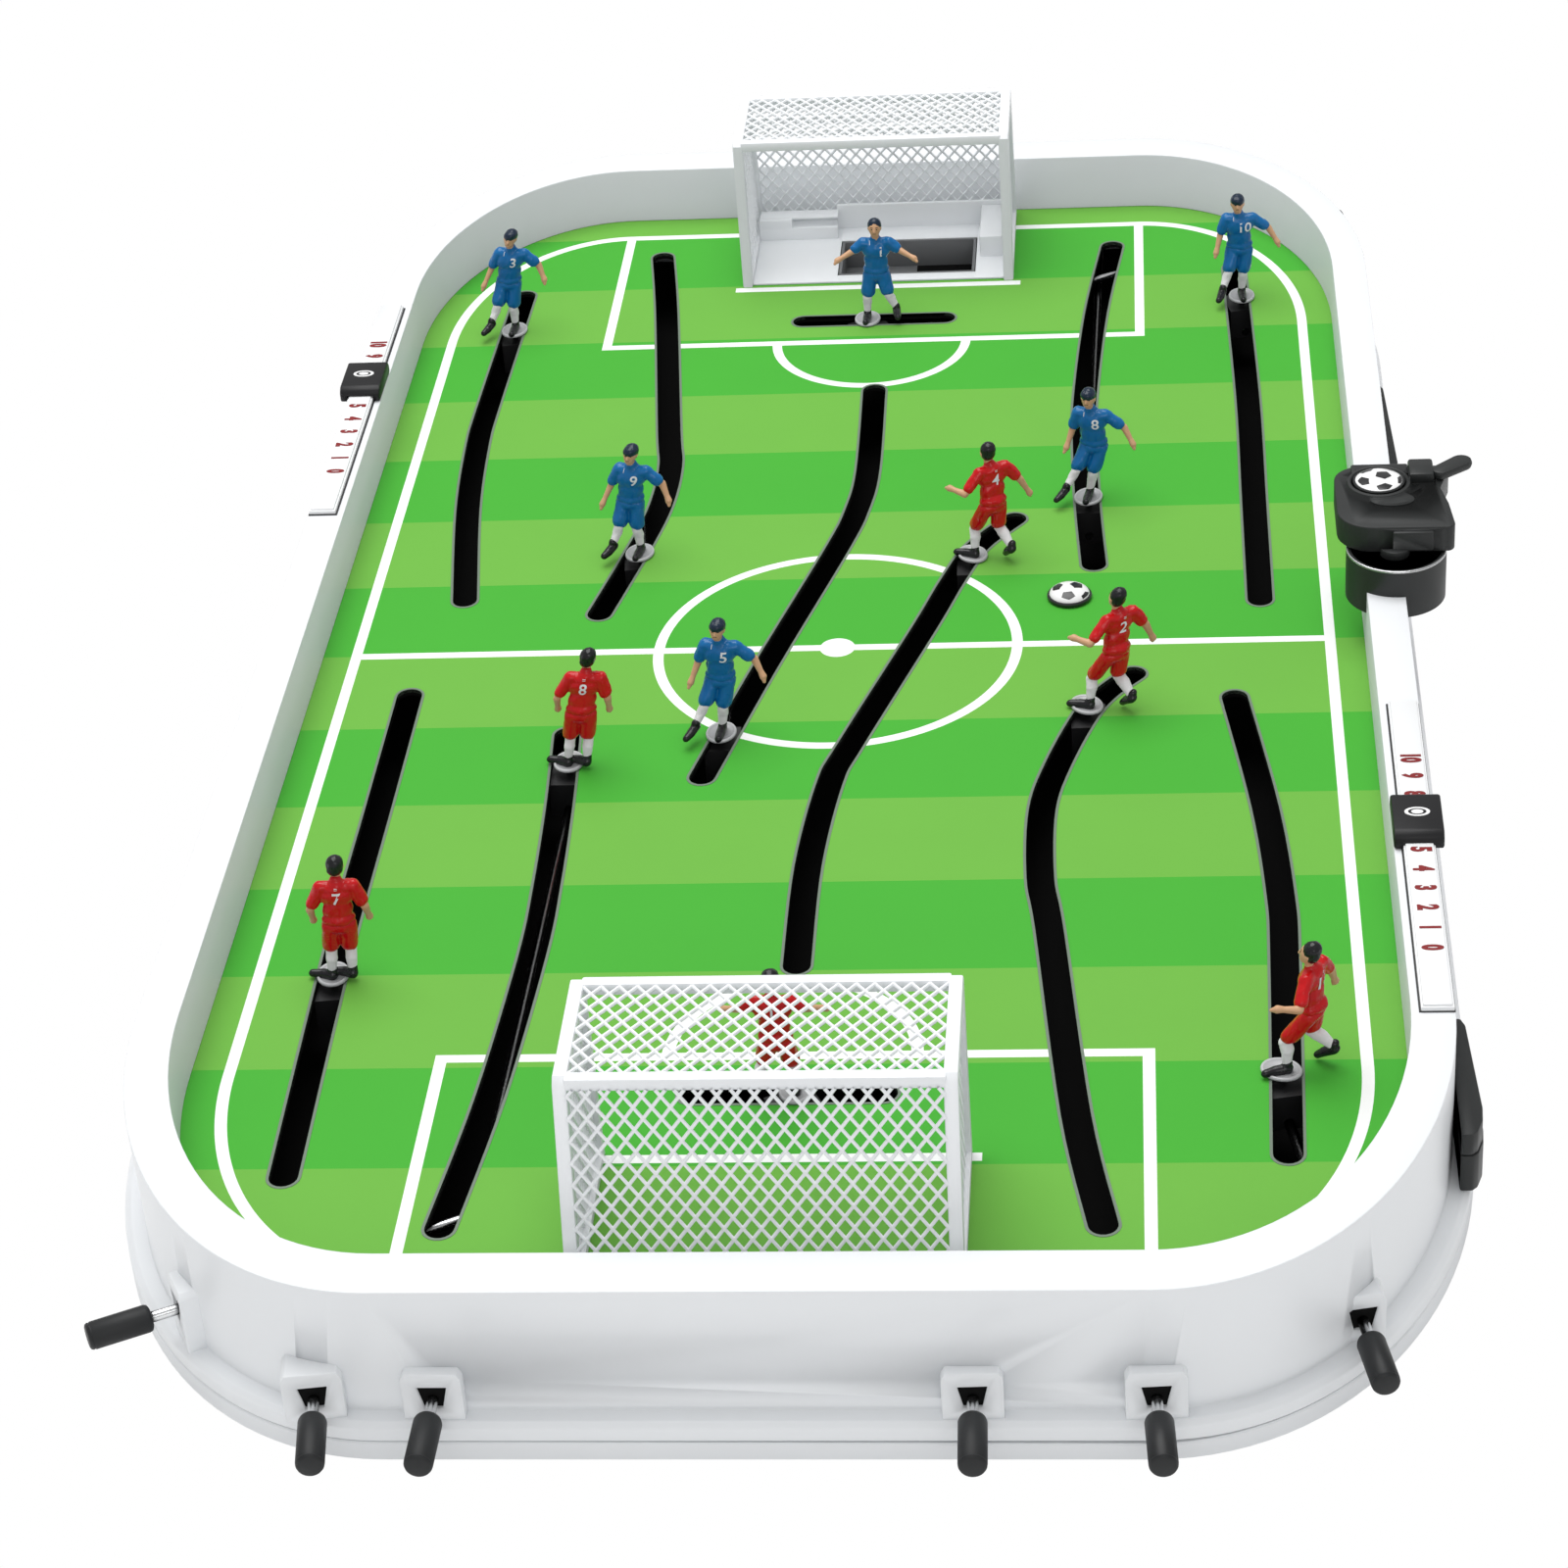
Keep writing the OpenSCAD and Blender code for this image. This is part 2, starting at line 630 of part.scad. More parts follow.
// Gear blank of diameter d with square teeth cut to depth t
module gear_shape(d, teeth, t)
    difference() {
        circle(d = d, $fn = 48);
        for (i = [0:teeth - 1])
            rotate(i * 360 / teeth)
                translate([d / 2 - t, -d * 0.7 / teeth])
                    square([t * 2, d * 1.4 / teeth]);
    }

// Steel rod with its pinion in the carriage and its hand grip outside the wall
module rod(p) {
    z = rod_height(p);
    reach = norm(run(p)) + boss_reach(p) + grip_gap;
    at_peg(p) {
        color("silver") {
            translate([0, CARRIAGE_FRONT, z])
                rotate([90, 0, 0])
                    cylinder(d = rod_d, h = CARRIAGE_FRONT + reach + grip_l - 6);
            translate([0, HUB_FRONT, z])
                rotate([90, 0, 0])
                    cylinder(d = HUB_D, h = HUB_FRONT + HUB_BACK);
            translate([0, PINION_T - pinion_back(p), z])
                rotate([90, 0, 0])
                    linear_extrude(PINION_T)
                        gear_shape(pinion_d(p), GEAR_TEETH, 0.6);
        }
        color("darkslategray")
            translate([0, -reach, z])
                rotate([90, 0, 0])
                    difference() {
                        rotate_extrude()
                            polygon([[0, 0], [grip_d / 2 - 1.5, 0], [grip_d / 2, 1.5], [grip_d / 2, grip_l - 2.5],
                                [grip_d / 2 - 2.5, grip_l], [0, grip_l]]);
                        translate([0, 0, -1])
                            cylinder(d = rod_d, h = grip_l - 2);
                    }
    }
}

// A limb: an eight-sided bar from a to b, d across
module limb(a, b, d) {
    v = b - a;
    translate(a)
        rotate([0, acos(v[2] / norm(v)), atan2(v[1], v[0])])
            cylinder(d = d, h = norm(v), $fn = 8);
}

BASE_H = 1.6;
HEAD_UP = 22;
// A moulded player on his peg, facing +X of his own axes, one foot on the base
module figure(p) {
    stance = p[6];
    cz = crown_z(p);
    team(p)
        translate(peg(p)) {
            color("black") {
                translate([0, 0, cz])
                    cylinder(d = peg_d, h = pitch_z + fit + 1 - cz);
                translate([0, 0, cz])
                    linear_extrude(CROWN_T)
                        gear_shape(crown_d(p), GEAR_TEETH, 1);
            }
            rotate([0, 0, p[4]])
                translate([0, 0, pitch_z + fit]) {
                    color("silver")
                        linear_extrude(BASE_H)
                            polygon([for (a = [0:20:340]) [8 * cos(a), 5 * sin(a)]]);
                    hip = [[-2, -5, 25], [0, -3, 25], [0, 6, 24], [0, -4, 25]][stance];
                    foot = [[-11, -12, 4], [-2, -8, 1], [0, 15, 1], [8, -12, 4]][stance];
                    planted = stance == KEEP ? -1 : 1;
                    color("black") {
                        translate([-3.5, -2, 0.5])
                            cube([9, 4, 4]);
                        translate(foot - [1.5, 2, 0])
                            cube([9, 4, 4]);
                    }
                    color("white") {
                        limb([-1, 0, 3], hip + [0, planted * 3, -7], 4.2);
                        limb(foot + [0, 0, 2], hip + [0, planted * -3.2, -7], 4.2);
                    }
                    color(p[5]) {
                        translate(hip + [0, 0, -9])
                            linear_extrude(11)
                                polygon([for (a = [0:30:330]) [4 * cos(a), 7.2 * sin(a)]]);
                        translate(hip)
                            linear_extrude(16)
                                polygon([for (a = [15:30:345]) [4.6 * cos(a), 8 * sin(a)]]);
                    }
                    color("tan") {
                        arm = stance == KEEP ? [3, 8, -6] : [3, 5, -13];
                        for (s = [-1, 1])
                            limb(hip + [0, s * 7, 13], hip + [arm[0], s * (7 + arm[1]), 13 + arm[2]], 4);
                        translate(hip + [0.5, 0, 14])
                            cylinder(d = 5, h = 6, $fn = 8);
                        translate(hip + [0.8, 0, HEAD_UP])
                            sphere(d = 10);
                    }
                }
        }
}

base_tray();
pitch_board();
rim_housing();
side_clips();
near_goal();
far_goal();
score_rails();
left_score_slider();
right_score_slider();
dispenser_cup();
dispenser_lid();
dispenser_button();
dispenser_lever();
ball();
guide(red_left_wing);  // red_left_wing_guide
carriage(red_left_wing);  // red_left_wing_carriage
rod(red_left_wing);  // red_left_wing_rod
figure(red_left_wing);  // red_left_wing_figure
carriage(red_left_mid);  // red_left_mid_carriage
rod(red_left_mid);  // red_left_mid_rod
figure(red_left_mid);  // red_left_mid_figure
guide(red_centre);  // red_centre_guide
carriage(red_centre);  // red_centre_carriage
rod(red_centre);  // red_centre_rod
figure(red_centre);  // red_centre_figure
guide(red_right_mid);  // red_right_mid_guide
carriage(red_right_mid);  // red_right_mid_carriage
rod(red_right_mid);  // red_right_mid_rod
figure(red_right_mid);  // red_right_mid_figure
guide(red_right_wing);  // red_right_wing_guide
carriage(red_right_wing);  // red_right_wing_carriage
rod(red_right_wing);  // red_right_wing_rod
figure(red_right_wing);  // red_right_wing_figure
guide(red_goalie);  // red_goalie_guide
carriage(red_goalie);  // red_goalie_carriage
rod(red_goalie);  // red_goalie_rod
figure(red_goalie);  // red_goalie_figure
guide(blue_left_wing);  // blue_left_wing_guide
carriage(blue_left_wing);  // blue_left_wing_carriage
rod(blue_left_wing);  // blue_left_wing_rod
figure(blue_left_wing);  // blue_left_wing_figure
carriage(blue_left_mid);  // blue_left_mid_carriage
rod(blue_left_mid);  // blue_left_mid_rod
figure(blue_left_mid);  // blue_left_mid_figure
guide(blue_centre);  // blue_centre_guide
carriage(blue_centre);  // blue_centre_carriage
rod(blue_centre);  // blue_centre_rod
figure(blue_centre);  // blue_centre_figure
guide(blue_right_mid);  // blue_right_mid_guide
carriage(blue_right_mid);  // blue_right_mid_carriage
rod(blue_right_mid);  // blue_right_mid_rod
figure(blue_right_mid);  // blue_right_mid_figure
guide(blue_right_wing);  // blue_right_wing_guide
carriage(blue_right_wing);  // blue_right_wing_carriage
rod(blue_right_wing);  // blue_right_wing_rod
figure(blue_right_wing);  // blue_right_wing_figure
guide(blue_goalie);  // blue_goalie_guide
carriage(blue_goalie);  // blue_goalie_carriage
rod(blue_goalie);  // blue_goalie_rod
figure(blue_goalie);  // blue_goalie_figure
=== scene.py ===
import math

import bmesh
import bpy
from mathutils import Matrix, Vector, geometry, noise
from mathutils.bvhtree import BVHTree


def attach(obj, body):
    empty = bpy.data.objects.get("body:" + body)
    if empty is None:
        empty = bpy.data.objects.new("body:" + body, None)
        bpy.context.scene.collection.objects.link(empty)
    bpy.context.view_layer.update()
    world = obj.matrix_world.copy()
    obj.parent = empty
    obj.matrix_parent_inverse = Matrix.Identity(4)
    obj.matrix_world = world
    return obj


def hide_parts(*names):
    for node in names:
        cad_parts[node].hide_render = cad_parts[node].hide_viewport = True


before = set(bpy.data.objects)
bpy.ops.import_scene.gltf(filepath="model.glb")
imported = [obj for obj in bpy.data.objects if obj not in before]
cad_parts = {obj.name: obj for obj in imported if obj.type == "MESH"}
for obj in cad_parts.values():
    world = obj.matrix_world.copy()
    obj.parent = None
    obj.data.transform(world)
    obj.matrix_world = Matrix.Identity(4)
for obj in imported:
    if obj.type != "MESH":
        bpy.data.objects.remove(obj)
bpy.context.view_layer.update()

# ---- Base tray -----------------------------------------------------------------------
# Lower half of the body: one grey-white polystyrene moulding with a skirt all round, a floor,
# and a wall under the pitch board. Its inside is painted black as shade, so the slots look
# bottomless.
MM = 0.001
PITCH_Z = 47
HALF_W = 225
HALF_L = 433
CORNER_W = 94
CORNER_L = 136
RIM_SIDE = 16
RIM_END = 20.5
FLANGE_OUT = 8
SEAM_Z = 16.5
WALL = 2.5
FOOT_H = 8
SKIRT_Z = FOOT_H - 0.5
CORNER_STEPS = 28
TRAY_COLOUR = (0.80, 0.82, 0.84)
PAINTED_SHADE_BLACK = (0.004, 0.004, 0.004)


def outline(side, end, steps=CORNER_STEPS):
    """The body's plan as points in mm: its inner wall grown by side in X and by end in Y."""
    points = []
    rx, ry = CORNER_W + side, CORNER_L + end
    for quarter, (sx, sy) in enumerate([(1, 1), (-1, 1), (-1, -1), (1, -1)]):
        for step in range(steps + 1):
            a = math.radians(90 * (quarter + step / steps))
            points.append((
                sx * (HALF_W - CORNER_W) + rx * math.cos(a),
                sy * (HALF_L - CORNER_L) + ry * math.sin(a),
            ))
    return points


def sweep_plan(profile, shift=None):
    """A band round the body from (side, end, z) points; shift moves z by a point's plan."""
    form = bmesh.new()
    rings = []
    for side, end, z in profile:
        ring = []
        for x, y in outline(side, end):
            dz = shift(x, y, z) if shift else 0
            ring.append(form.verts.new((x, y, z + dz)))
        rings.append(ring)
    for low, high in zip(rings, rings[1:]):
        for i in range(len(low)):
            j = (i + 1) % len(low)
            form.faces.new((low[i], low[j], high[j], high[i]))
    return form


def finish_form(form, name, smooth_angle=32):
    """Turns a bmesh in mm into a mesh in metres with crisp edges only at its corners."""
    bmesh.ops.recalc_face_normals(form, faces=form.faces)
    for face in form.faces:
        face.smooth = True
    limit = math.radians(smooth_angle)
    for edge in form.edges:
        edge.smooth = edge.calc_face_angle(math.pi) < limit
    form.transform(Matrix.Scale(MM, 4))
    mesh = bpy.data.meshes.new(name)
    form.to_mesh(mesh)
    form.free()
    return mesh


def fit_piece(name, mesh, body, materials, stands_for=()):
    """Puts a mesh in the scene as a piece that rides on a body and takes a slot's finish."""
    thing = bpy.data.objects.new(name, mesh)
    bpy.context.scene.collection.objects.link(thing)
    if not mesh.materials:
        for material in materials:
            mesh.materials.append(material)
    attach(thing, body)
    if stands_for:
        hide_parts(*stands_for)
    return thing


def socket(group, name, direction, kind="NodeSocketFloat", value=None):
    made = group.interface.new_socket(name=name, in_out=direction, socket_type=kind)
    if value is not None:
        made.default_value = value
    return made


def link(tree, start, end):
    tree.links.new(start, end)


def make_mould_texture():
    """Group: the fine spark-eroded grain and the faint cloudiness of injection-moulded plastic."""
    group = bpy.data.node_groups.new("mould_texture", "ShaderNodeTree")
    socket(group, "Colour", "INPUT", "NodeSocketColor", (0.8, 0.8, 0.8, 1))
    socket(group, "Cloud", "INPUT", value=0.03)
    socket(group, "Grain scale", "INPUT", value=2200)
    socket(group, "Roughness", "INPUT", value=0.4)
    socket(group, "Colour", "OUTPUT", "NodeSocketColor")
    socket(group, "Roughness", "OUTPUT")
    socket(group, "Grain", "OUTPUT")
    nodes = group.nodes
    given = nodes.new("NodeGroupInput")
    result = nodes.new("NodeGroupOutput")
    place = nodes.new("ShaderNodeTexCoord")
    grain = nodes.new("ShaderNodeTexNoise")
    grain.inputs["Detail"].default_value = 2
    link(group, place.outputs["Object"], grain.inputs["Vector"])
    link(group, given.outputs["Grain scale"], grain.inputs["Scale"])
    cloud = nodes.new("ShaderNodeTexNoise")
    cloud.inputs["Scale"].default_value = 22
    cloud.inputs["Detail"].default_value = 4
    link(group, place.outputs["Object"], cloud.inputs["Vector"])
    centred = nodes.new("ShaderNodeMath")
    centred.operation = "SUBTRACT"
    centred.inputs[1].default_value = 0.5
    link(group, cloud.outputs["Fac"], centred.inputs[0])
    swing = nodes.new("ShaderNodeMath")
    swing.operation = "MULTIPLY"
    link(group, centred.outputs[0], swing.inputs[0])
    link(group, given.outputs["Cloud"], swing.inputs[1])
    level = nodes.new("ShaderNodeMath")
    level.operation = "ADD"
    level.inputs[1].default_value = 1
    link(group, swing.outputs[0], level.inputs[0])
    tint = nodes.new("ShaderNodeVectorMath")
    tint.operation = "SCALE"
    link(group, given.outputs["Colour"], tint.inputs[0])
    link(group, level.outputs[0], tint.inputs["Scale"])
    link(group, tint.outputs[0], result.inputs["Colour"])
    rough = nodes.new("ShaderNodeMath")
    rough.operation = "MULTIPLY_ADD"
    rough.inputs[1].default_value = 2
    link(group, swing.outputs[0], rough.inputs[0])
    link(group, given.outputs["Roughness"], rough.inputs[2])
    link(group, rough.outputs[0], result.inputs["Roughness"])
    link(group, grain.outputs["Fac"], result.inputs["Grain"])
    return group


mould_texture = make_mould_texture()


def moulded(name, colour, roughness=0.4, cloud=0.05, grain_scale=2200, grain_depth=0.00001,
            coat=0.0, specular=0.5):
    """Moulded plastic of one colour, with its grain as bump. Returns the material."""
    material = bpy.data.materials.new(name)
    material.use_nodes = True
    tree = material.node_tree
    shader = tree.nodes["Principled BSDF"]
    shader.inputs["Coat Weight"].default_value = coat
    shader.inputs["Specular IOR Level"].default_value = specular
    texture = tree.nodes.new("ShaderNodeGroup")
    texture.name = "mould texture"
    texture.node_tree = mould_texture
    texture.inputs["Colour"].default_value = (*colour, 1)
    texture.inputs["Cloud"].default_value = cloud
    texture.inputs["Grain scale"].default_value = grain_scale
    texture.inputs["Roughness"].default_value = roughness
    bump = tree.nodes.new("ShaderNodeBump")
    bump.inputs["Distance"].default_value = grain_depth
    bump.inputs["Strength"].default_value = 0.6
    link(tree, texture.outputs["Grain"], bump.inputs["Height"])
    link(tree, texture.outputs["Colour"], shader.inputs["Base Color"])
    link(tree, texture.outputs["Roughness"], shader.inputs["Roughness"])
    link(tree, bump.outputs["Normal"], shader.inputs["Normal"])
    return material


tray_grey = moulded("tray_grey", TRAY_COLOUR, roughness=0.38)
# Black painted as shade on the closed inside of the body: tray floor, board underside and slot
# walls, the boxes behind the wall windows, the goal chute and the cup's inside.
painted_shade_black = moulded("painted_shade_black", PAINTED_SHADE_BLACK, roughness=0.8, specular=0.1)


def seam_sag(x, y, z):
    """The tray's top edge stands a little open at the near right-hand corner."""
    near = math.exp(-((x - 118) / 42) ** 2) if y < 0 and x > 0 else 0
    return -0.9 * near if z > SEAM_Z - 1.5 else 0


SKIRT_EDGE = 0.8
tray_profile = [
    (RIM_SIDE + FLANGE_OUT - WALL, RIM_END + FLANGE_OUT - WALL, SEAM_Z - 3.5),
    (RIM_SIDE + FLANGE_OUT - WALL, RIM_END + FLANGE_OUT - WALL, SKIRT_Z),
    (RIM_SIDE + FLANGE_OUT - SKIRT_EDGE, RIM_END + FLANGE_OUT - SKIRT_EDGE, SKIRT_Z),
    (RIM_SIDE + FLANGE_OUT, RIM_END + FLANGE_OUT, SKIRT_Z + SKIRT_EDGE),
    (RIM_SIDE + FLANGE_OUT, RIM_END + FLANGE_OUT, SEAM_Z - 1.1),
    (RIM_SIDE + FLANGE_OUT - 0.4, RIM_END + FLANGE_OUT - 0.4, SEAM_Z - 0.5),
    (RIM_SIDE + FLANGE_OUT - WALL, RIM_END + FLANGE_OUT - WALL, SEAM_Z - 0.5),
    (RIM_SIDE + FLANGE_OUT - WALL, RIM_END + FLANGE_OUT - WALL, SEAM_Z - 3.5),
]
skirt = sweep_plan(tray_profile, seam_sag)
fit_piece("tray_skirt", finish_form(skirt, "tray_skirt"), "body", [tray_grey])


def slab(points, z0, z1):
    """A flat plate between two heights on an outline of (x, y) points in mm."""
    form = bmesh.new()
    low = [form.verts.new((x, y, z0)) for x, y in points]
    high = [form.verts.new((x, y, z1)) for x, y in points]
    form.faces.new(low)
    form.faces.new(high)
    for i in range(len(low)):
        j = (i + 1) % len(low)
        form.faces.new((low[i], low[j], high[j], high[i]))
    return form


# The tray floor's top is painted black as the shade inside the closed body.
tray_floor = slab(outline(RIM_SIDE + FLANGE_OUT - WALL - 0.2, RIM_END + FLANGE_OUT - WALL - 0.2),
                  FOOT_H, FOOT_H + WALL)
fit_piece("tray_floor", finish_form(tray_floor, "tray_floor"), "body",
          [painted_shade_black])


def turned(profile, sides=40):
    """A solid turned about -Y: profile is a list of (radius, distance along -Y) from end to end."""
    form = bmesh.new()
    rings = []
    for radius, along in profile:
        if radius < 0.01:
            rings.append([form.verts.new((0, -along, 0))])
        else:
            rings.append([form.verts.new((radius * math.cos(a), -along, radius * math.sin(a)))
                          for a in (2 * math.pi * k / sides for k in range(sides))])
    for low, high in zip(rings, rings[1:]):
        for k in range(sides):
            n = (k + 1) % sides
            if len(low) == 1:
                form.faces.new((low[0], high[k], high[n]))
            elif len(high) == 1:
                form.faces.new((low[k], low[n], high[0]))
            else:
                form.faces.new((low[k], low[n], high[n], high[k]))
    return form


STAND_UP = Matrix.Rotation(math.pi / 2, 4, "X")
FEET = [(0, 0, 20), (0.75, 0.86, 13), (0.87, 0, 13), (0.75, -0.86, 13), (-0.75, 0.86, 13),
        (-0.87, 0, 13), (-0.75, -0.86, 13)]
foot_rubber = moulded("foot_rubber", (0.02, 0.02, 0.02), roughness=0.7)
for number, (share_x, share_y, radius) in enumerate(FEET):
    foot = turned([(0, 0), (radius - 0.8, 0), (radius, -0.8), (radius, -FOOT_H - 1),
                   (0, -FOOT_H - 1)], 48)
    foot.transform(Matrix.Translation((share_x * HALF_W, share_y * HALF_L, 0)) @ STAND_UP)
    fit_piece(f"foot_{number + 1}", finish_form(foot, "foot"), "body",
              [foot_rubber], ["base_tray"])

# ---- Rod guides and carriages ----------------------------------------------------------
# Black acetal blocks under the board: a barrel behind each wall window that the rod swings and
# slides in, and a carriage that holds the rod's end and the figure's peg.
# This black is the acetal of the guides, carriages and pinions, and also paints the shadow strip
# under each score rail.
RUNNING_AND_SHADOW_BLACK = (0.010, 0.010, 0.011)
acetal_and_shadow_black = moulded("acetal_and_shadow_black", RUNNING_AND_SHADOW_BLACK, roughness=0.5, cloud=0.2)
for node_name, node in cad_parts.items():
    if node_name.endswith(("_guide", "_carriage")):
        node.data.materials.clear()
        node.data.materials.append(acetal_and_shadow_black)

# ---- Pitch board -----------------------------------------------------------------------
# Green board printed with mown stripes and white lines, cut through by the twelve slots that
# the figures run in. Each slot has a thin raised grey lip round it.
BOARD_T = 3
BOARD_LAP = 5
SLOT_W = 10.8
LIP_W = 1.1
LIP_LAP = 0.0
LIP_H = 0.2
LEFT_WING_SLOT = [(-179, -357), (-182, -220), (-182, -120), (-182, -33)]
LEFT_MID_SLOT = [(-118, -386), (-110, -311), (-105.2, -223), (-105.2, -175), (-107, -118),
                 (-110, -66)]
RED_CENTRE_SLOT = [(-2, -232), (-2, -165), (3, -106), (10, -77), (37, 15), (48, 55), (58, 84),
                   (74, 108)]
BLUE_CENTRE_SLOT = [(-4, -236), (-5, -157), (-2, -120), (5, -85), (30, 14), (50, 100)]
RED_RIGHT_MID_SLOT = [(115, -386), (105, -324), (94, -210), (90, -175), (90, -128), (96, -95),
                      (107, -58), (116, -40), (127, -26)]
BLUE_RIGHT_MID_SLOT = [(113, -388), (105, -324), (92, -200), (88, -165), (89, -128), (95, -90),
                       (107, -32)]
RIGHT_WING_SLOT = [(180, -348), (183, -230), (183, -190), (179, -128), (169, -46)]
GOALIE_SLOT = [(-35, -311), (35, -311)]
RED_SLOTS = [LEFT_WING_SLOT, LEFT_MID_SLOT, RED_CENTRE_SLOT, RED_RIGHT_MID_SLOT, RIGHT_WING_SLOT,
             GOALIE_SLOT]
BLUE_SLOTS = [LEFT_WING_SLOT, LEFT_MID_SLOT, BLUE_CENTRE_SLOT, BLUE_RIGHT_MID_SLOT,
              RIGHT_WING_SLOT, GOALIE_SLOT]
LIGHT_GRASS = (0.150, 0.440, 0.058)
DARK_GRASS = (0.062, 0.405, 0.036)
LINE_WHITE = (0.90, 0.92, 0.90)
STRIPE_L = 58.7
LINE_HALF_W = 2.3


def half_turn(points):
    return [(-x, -y) for x, y in points]


def eased(points, steps=6):
    """A smooth line through the points of a slot, as Catmull-Rom stretches."""
    if len(points) < 3:
        return [Vector(p) for p in points]
    line = []
    padded = [points[0], *points, points[-1]]
    for a, b, c, d in zip(padded, padded[1:], padded[2:], padded[3:]):
        a, b, c, d = Vector(a), Vector(b), Vector(c), Vector(d)
        for step in range(steps):
            t = step / steps
            line.append(0.5 * (2 * b + (c - a) * t + (2 * a - 5 * b + 4 * c - d) * t * t
                               + (3 * b - a - 3 * c + d) * t ** 3))
    line.append(Vector(points[-1]))
    return line


def slot_outline(points, width, end_steps=10):
    """The closed outline of a slot of a width along a centre line, with round ends."""
    line = eased(points)
    left, right = [], []
    for i, p in enumerate(line):
        along = (line[min(i + 1, len(line) - 1)] - line[max(i - 1, 0)]).normalized()
        across = Vector((-along.y, along.x)) * width / 2
        left.append(p + across)
        right.append(p - across)

    def cap(centre, start):
        spoke = start - centre
        return [centre + Matrix.Rotation(-math.pi * k / end_steps, 2) @ spoke
                for k in range(1, end_steps)]

    return left + cap(line[-1], left[-1]) + right[::-1] + cap(line[0], right[0])


def flat_plate(name, outer, holes, z0, z1, edge=0.0):
    """A plate in mm between two heights, with holes cut through, its edges rounded by edge."""
    curve = bpy.data.curves.new(name, "CURVE")
    curve.dimensions = "2D"
    curve.fill_mode = "BOTH"
    curve.extrude = (z1 - z0) / 2 - edge
    curve.bevel_depth = edge
    curve.bevel_resolution = 1
    curve.offset = -edge
    for loop in [outer, *holes]:
        spline = curve.splines.new("POLY")
        spline.points.add(len(loop) - 1)
        for point, (x, y) in zip(spline.points, loop):
            point.co = (x, y, 0, 1)
        spline.use_cyclic_u = True
    carrier = bpy.data.objects.new(name, curve)
    bpy.context.scene.collection.objects.link(carrier)
    bpy.context.view_layer.update()
    shown = carrier.evaluated_get(bpy.context.evaluated_depsgraph_get())
    form = bmesh.new()
    form.from_mesh(shown.to_mesh())
    shown.to_mesh_clear()
    bpy.data.objects.remove(carrier)
    bpy.data.curves.remove(curve)
    bmesh.ops.remove_doubles(form, verts=form.verts, dist=0.001)
    form.transform(Matrix.Translation((0, 0, (z0 + z1) / 2)))
    return form


def make_pitch_print():
    """Group: which parts of the board are white line, and which are the lighter stripe."""
    group = bpy.data.node_groups.new("pitch_print", "ShaderNodeTree")
    socket(group, "Line", "OUTPUT")
    socket(group, "Light stripe", "OUTPUT")
    result = group.nodes.new("NodeGroupOutput")
    place = group.nodes.new("ShaderNodeTexCoord")
    split = group.nodes.new("ShaderNodeSeparateXYZ")
    link(group, place.outputs["Object"], split.inputs[0])

    def calc(operation, *values):
        node = group.nodes.new("ShaderNodeMath")
        node.operation = operation
        for place_in, value in zip(node.inputs, values):
            if isinstance(value, (int, float)):
                place_in.default_value = value
            else:
                link(group, value, place_in)
        return node.outputs[0]

    def near(value, target):
        return calc("LESS_THAN", calc("ABSOLUTE", calc("SUBTRACT", value, target)), LINE_HALF_W)

    def both(*masks):
        total = masks[0]
        for mask in masks[1:]:
            total = calc("MULTIPLY", total, mask)
        return total

    def distance(x, y):
        return calc("SQRT", calc("ADD", calc("MULTIPLY", x, x), calc("MULTIPLY", y, y)))

    x = calc("MULTIPLY", split.outputs[0], 1000)
    y = calc("MULTIPLY", split.outputs[1], 1000)
    across = calc("ABSOLUTE", x)
    along = calc("ABSOLUTE", y)
    bend_x, bend_y, bend_w, bend_l = 131, 297, 79.5, 115
    u = calc("DIVIDE", calc("SUBTRACT", across, bend_x), bend_w)
    v = calc("DIVIDE", calc("SUBTRACT", along, bend_y), bend_l)
    reach = distance(u, v)
    slope = calc("DIVIDE", distance(calc("DIVIDE", u, bend_w), calc("DIVIDE", v, bend_l)), reach)
    bend = both(near(calc("DIVIDE", calc("SUBTRACT", reach, 1), slope), 0),
                calc("GREATER_THAN", across, bend_x), calc("GREATER_THAN", along, bend_y))
    lines = [
        bend,
        both(near(across, bend_x + bend_w), calc("LESS_THAN", along, bend_y + 0.1)),
        both(near(along, bend_y + bend_l), calc("LESS_THAN", across, bend_x + 0.1)),
        both(near(y, 0), calc("LESS_THAN", across, bend_x + bend_w)),
        near(distance(x, y), 77.5),
        calc("LESS_THAN", distance(x, y), 7.6),
        both(near(across, 131.5), calc("GREATER_THAN", along, 285.7),
             calc("LESS_THAN", along, bend_y + bend_l)),
        both(near(along, 288), calc("LESS_THAN", across, 133.8)),
        both(near(distance(x, calc("SUBTRACT", along, 288)), 46.5),
             calc("LESS_THAN", along, 288)),
        both(near(along, 348), calc("LESS_THAN", across, 72)),
    ]
    total = lines[0]
    for mask in lines[1:]:
        total = calc("MAXIMUM", total, mask)
    link(group, total, result.inputs["Line"])
    stripe = calc("FLOORED_MODULO", calc("FLOOR", calc("DIVIDE", y, STRIPE_L)), 2)
    link(group, stripe, result.inputs["Light stripe"])
    return group


def blend_colours(tree, mask, first, second):
    """A colour mix by a mask; each colour is a socket or a colour value."""
    mix = tree.nodes.new("ShaderNodeMix")
    mix.data_type = "RGBA"
    if hasattr(mask, "is_output"):
        link(tree, mask, mix.inputs["Factor"])
    else:
        mix.inputs["Factor"].default_value = mask
    for place_in, colour in ((mix.inputs[6], first), (mix.inputs[7], second)):
        if hasattr(colour, "is_output"):
            link(tree, colour, place_in)
        else:
            place_in.default_value = (*colour, 1)
    return mix.outputs[2]


